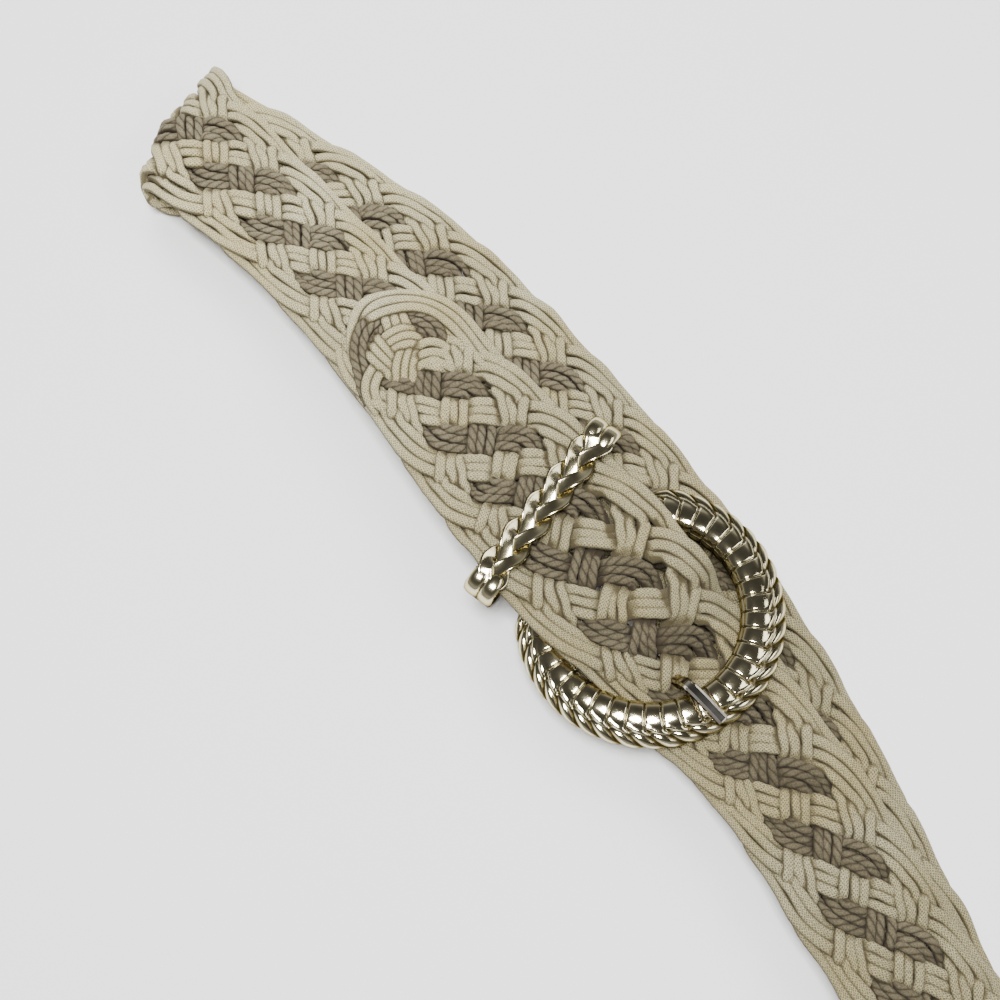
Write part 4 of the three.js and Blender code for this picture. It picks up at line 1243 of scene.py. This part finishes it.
LOOP_SIDE = KEEPER["half_length"] - KEEPER["wall"] / 2 - 0.4
LOOP_TOP = KEEPER["inner_top"] + KEEPER["wall"] / 2
LOOP_BOTTOM = KEEPER["bottom"] + KEEPER["wall"] / 2
LOOP_RUN = LOOP_SIDE - CORNER_RADIUS
LOOP_QUARTER = CORNER_RADIUS * math.pi / 2
KEEPER_CREASE = 50


def loop_point(distance, level):
    """A point of the keeper's loop: distance along it from the middle of its front, and a height
    above the inner face. The loop is a rectangle with round corners that stands across the belt."""
    sign = 1.0 if distance >= 0 else -1.0
    reach = abs(distance)
    if reach <= LOOP_RUN:
        spot, normal = (reach, LOOP_TOP), (0.0, 1.0)
    elif reach <= LOOP_RUN + LOOP_QUARTER:
        turn = (reach - LOOP_RUN) / CORNER_RADIUS
        normal = (math.sin(turn), math.cos(turn))
        spot = (LOOP_RUN + CORNER_RADIUS * normal[0], LOOP_TOP - CORNER_RADIUS + CORNER_RADIUS * normal[1])
    else:
        normal = (1.0, 0.0)
        spot = (LOOP_SIDE, LOOP_TOP - CORNER_RADIUS - (reach - LOOP_RUN - LOOP_QUARTER))
    return ((0.0, sign * (spot[0] + normal[0] * level), spot[1] + normal[1] * level),
            (0.0, sign * normal[0], normal[1]))


def loop_points(distances, levels, aside):
    """Points and outward normals along the keeper's loop, moved aside along the belt."""
    spots, normals = zip(*(loop_point(d, h) for d, h in zip(distances, levels)))
    spots = np.array(spots)
    spots[:, 0] = aside
    return spots, np.array(normals)


def at_keeper(points):
    turn = np.array(Matrix.Rotation(math.radians(KEEPER["yaw"]), 3, "Z"))
    return points @ turn.T + np.array([KEEPER["x"], KEEPER["y"], 0.0])


def ribbon_section():
    """The ribbon's outline: a shallow trough with rounded, raised rims."""
    half, thick = RIBBON["width"] / 2, RIBBON["thickness"] / 2
    sides = []
    for face, shares in ((1, RIBBON_SHARES), (-1, RIBBON_SHARES[::-1])):
        height = face * thick * (1 - RIBBON["edge"] * (np.abs(shares) == 1))
        sides.append(np.stack([shares * half, height + RIBBON["curl"] * shares ** 4], axis=1))
    return np.concatenate(sides)


def keeper_ribbon(parts, index):
    reach = LOOP_RUN + RIBBON["beyond"]
    distances = np.linspace(-reach, reach, RIBBON["samples"])
    to_end = reach - np.abs(distances)
    phase = 2 * np.pi * (distances / RIBBON["repeat"] + index / RIBBONS) + RIBBON["phase"]
    ease = np.clip(to_end / RIBBON["ease"], 0.0, 1.0)
    zigzag = np.arcsin(RIBBON["corner"] * np.sin(phase)) / math.asin(RIBBON["corner"])
    across = RIBBON["swing"] * zigzag * (RIBBON["least_swing"] + (1 - RIBBON["least_swing"]) * ease)
    weave = np.sin(2 * phase) * ease
    level = KEEPER["wall"] / 2 + RIBBON["level"] + RIBBON["rise"] * weave
    spots, normals = loop_points(distances, level, across)
    run = normalised(np.gradient(spots, axis=0))
    flat = normalised(np.cross(run, normals))
    up = np.cross(flat, run)
    roll_ease = np.clip((to_end - RIBBON["ease"]) / RIBBON["roll_ease"], 0.0, 1.0)
    roll = (RIBBON["roll"] * np.sin(phase) * roll_ease)[:, None]
    flat_turned = flat * np.cos(roll) + up * np.sin(roll)
    up_turned = up * np.cos(roll) - flat * np.sin(roll)
    section = ribbon_section()
    rings = (spots[:, None, :] + flat_turned[:, None, :] * section[None, :, 0, None]
             + up_turned[:, None, :] * section[None, :, 1, None])
    # Painted shade where the ribbon passes under the others.
    clear = 1 - np.clip(-weave, 0, 1)[:, None] * RIBBON["painted_shade"]
    parts.add_grid(at_keeper(rings), cap=True, clear=clear)


def keeper_pad(parts, sign, aside):
    """One of the two smooth pads that the plait ends in, bent down over a corner of the loop."""
    first, last = LOOP_RUN - PAD["before"], LOOP_RUN + LOOP_QUARTER + PAD["after"]
    distances = sign * np.linspace(first, last, PAD["samples"])
    level = np.full(PAD["samples"], KEEPER["wall"] / 2 + PAD["level"])
    spots, normals = loop_points(distances, level, aside)
    share = np.abs(np.linspace(-1, 1, PAD["samples"]))
    size = (1 - share ** PAD["end_square"]) ** 0.5 * (1 - PAD["least"]) + PAD["least"]
    angle = np.arange(PAD["sides"]) / PAD["sides"] * 2 * np.pi
    up = np.abs(np.cos(angle) / PAD["half_height"]) ** PAD["square"]
    across = np.abs(np.sin(angle) / PAD["half_width"]) ** PAD["square"]
    radii = size[:, None] * (up + across)[None, :] ** (-1 / PAD["square"])
    rings, length = tube_arrays(spots, normals, radii, PAD["sides"])
    parts.add_grid(at_keeper(rings), np.append(length, length[-1]), cap=True)


def keeper_base(parts):
    """The plain band under the plait and round the back of both straps, painted mostly in shade."""
    thin, edge, inset = LOOP_BAND["half_thickness"], LOOP_BAND["edge"], 1 - LOOP_BAND["edge_share"]
    profile = [(-1, -thin + edge), (-inset, -thin), (inset, -thin), (1, -thin + edge),
               (1, thin - edge), (inset, thin), (-inset, thin), (-1, thin - edge)]
    steps = LOOP_BAND["corner_steps"]
    aside = np.array([LOOP_BAND["half_width"], 0.0, 0.0])
    right, top, bottom = LOOP_RUN, LOOP_TOP - CORNER_RADIUS, LOOP_BOTTOM + CORNER_RADIUS
    rings = []
    for y, z, first in ((right, top, 90), (right, bottom, 0), (-right, bottom, -90), (-right, top, -180)):
        for step in range(steps + 1):
            angle = math.radians(first - step * 90 / steps)
            out = np.array([0.0, math.cos(angle), math.sin(angle)])
            spot = np.array([0.0, y, z]) + out * CORNER_RADIUS
            rings.append([spot + out * (level - LOOP_BAND["sink"]) + aside * x for x, level in profile])
    # The band is painted mostly in shade.
    parts.add_grid(at_keeper(np.array(rings)), closed_along=True, clear=LOOP_BAND["clear"])


def keeper_plait():
    parts = MeshParts()
    keeper_base(parts)
    for index in range(RIBBONS):
        keeper_ribbon(parts, index)
    for sign in (-1, 1):
        for aside in (-PAD["aside"], PAD["aside"]):
            keeper_pad(parts, sign, aside)
    return parts.build("keeper_plait", brushed, KEEPER_CREASE)


for item, node, slot in ((buckle_frame(), "buckle_frame", "cast_metal"),
                         (prong_bar(), "prong", "polished_metal"),
                         (keeper_plait(), "keeper", "cast_metal")):
    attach(item, "root")
    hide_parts(node)


# Stage, in metres. The studio's brightness goes by direction: the height of the direction as a
# share from straight down to straight up, and the grey seen there.
FLOOR = {"half": 3.0, "drop": 0.0002, "grey": (0.93, 0.93, 0.93), "roughness": 0.9, "specular": 0.1}
STUDIO = [
    (0.0, 0.22), (0.50, 0.24), (0.58, 0.32), (0.65, 0.32), (0.76, 0.11), (0.84, 0.06), (0.94, 0.05),
    (1.0, 0.06),
]
STUDIO_STRENGTH = 1.4
LIGHTS = [
    {"name": "window", "place": (0.0, -0.12, 1.0), "towards": (0, 0, 0), "size": (0.27, 0.27), "power": 20.0,
     "mirrored": True},
    {"name": "fill", "place": (-0.8, 0.3, 0.7), "towards": (-0.1, 0, 0), "size": (0.7, 0.7), "power": 9.0,
     "mirrored": False},
    {"name": "side", "place": (0.45, 0.55, 0.75), "towards": (0, 0, 0), "size": (0.8, 0.4), "power": 5.0,
     "mirrored": True},
]


def add_floor():
    half = FLOOR["half"]
    mesh = bpy.data.meshes.new("floor")
    corners = [(-half, -half, 0), (half, -half, 0), (half, half, 0), (-half, half, 0)]
    mesh.from_pydata(corners, [], [(0, 1, 2, 3)])
    floor = bpy.data.objects.new("floor", mesh)
    bpy.context.scene.collection.objects.link(floor)
    floor.location = (0, 0, -FLOOR["drop"])
    material, shader = new_material("pale_floor")
    Wiring(material).fill(shader, {
        "Base Color": FLOOR["grey"],
        "Roughness": FLOOR["roughness"],
        "Specular IOR Level": FLOOR["specular"],
    })
    mesh.materials.append(material)


def add_area(name, place, towards, size, power, mirrored):
    """A soft rectangular light, either seen in the metal or only lifting the shade."""
    data = bpy.data.lights.new(name, "AREA")
    data.shape = "RECTANGLE"
    data.size, data.size_y = size
    data.energy = power
    light = bpy.data.objects.new(name, data)
    light.location = place
    light.rotation_euler = (Vector(place) - Vector(towards)).to_track_quat("Z", "Y").to_euler()
    light.visible_glossy = mirrored
    bpy.context.scene.collection.objects.link(light)


def add_studio():
    world = bpy.data.worlds.new("studio")
    world.use_nodes = True
    w = Wiring(world)
    direction = w.node("ShaderNodeTexCoord").outputs["Generated"]
    height = w.maths("MULTIPLY", w.maths("ADD", w.split(direction)[2], 1.0), 0.5)
    w.fill(world.node_tree.nodes["Background"], {
        "Color": w.ramp(height, [(place, (grey, grey, grey)) for place, grey in STUDIO]),
        "Strength": STUDIO_STRENGTH,
    })
    bpy.context.scene.world = world


add_floor()
add_studio()
for light in LIGHTS:
    add_area(**light)
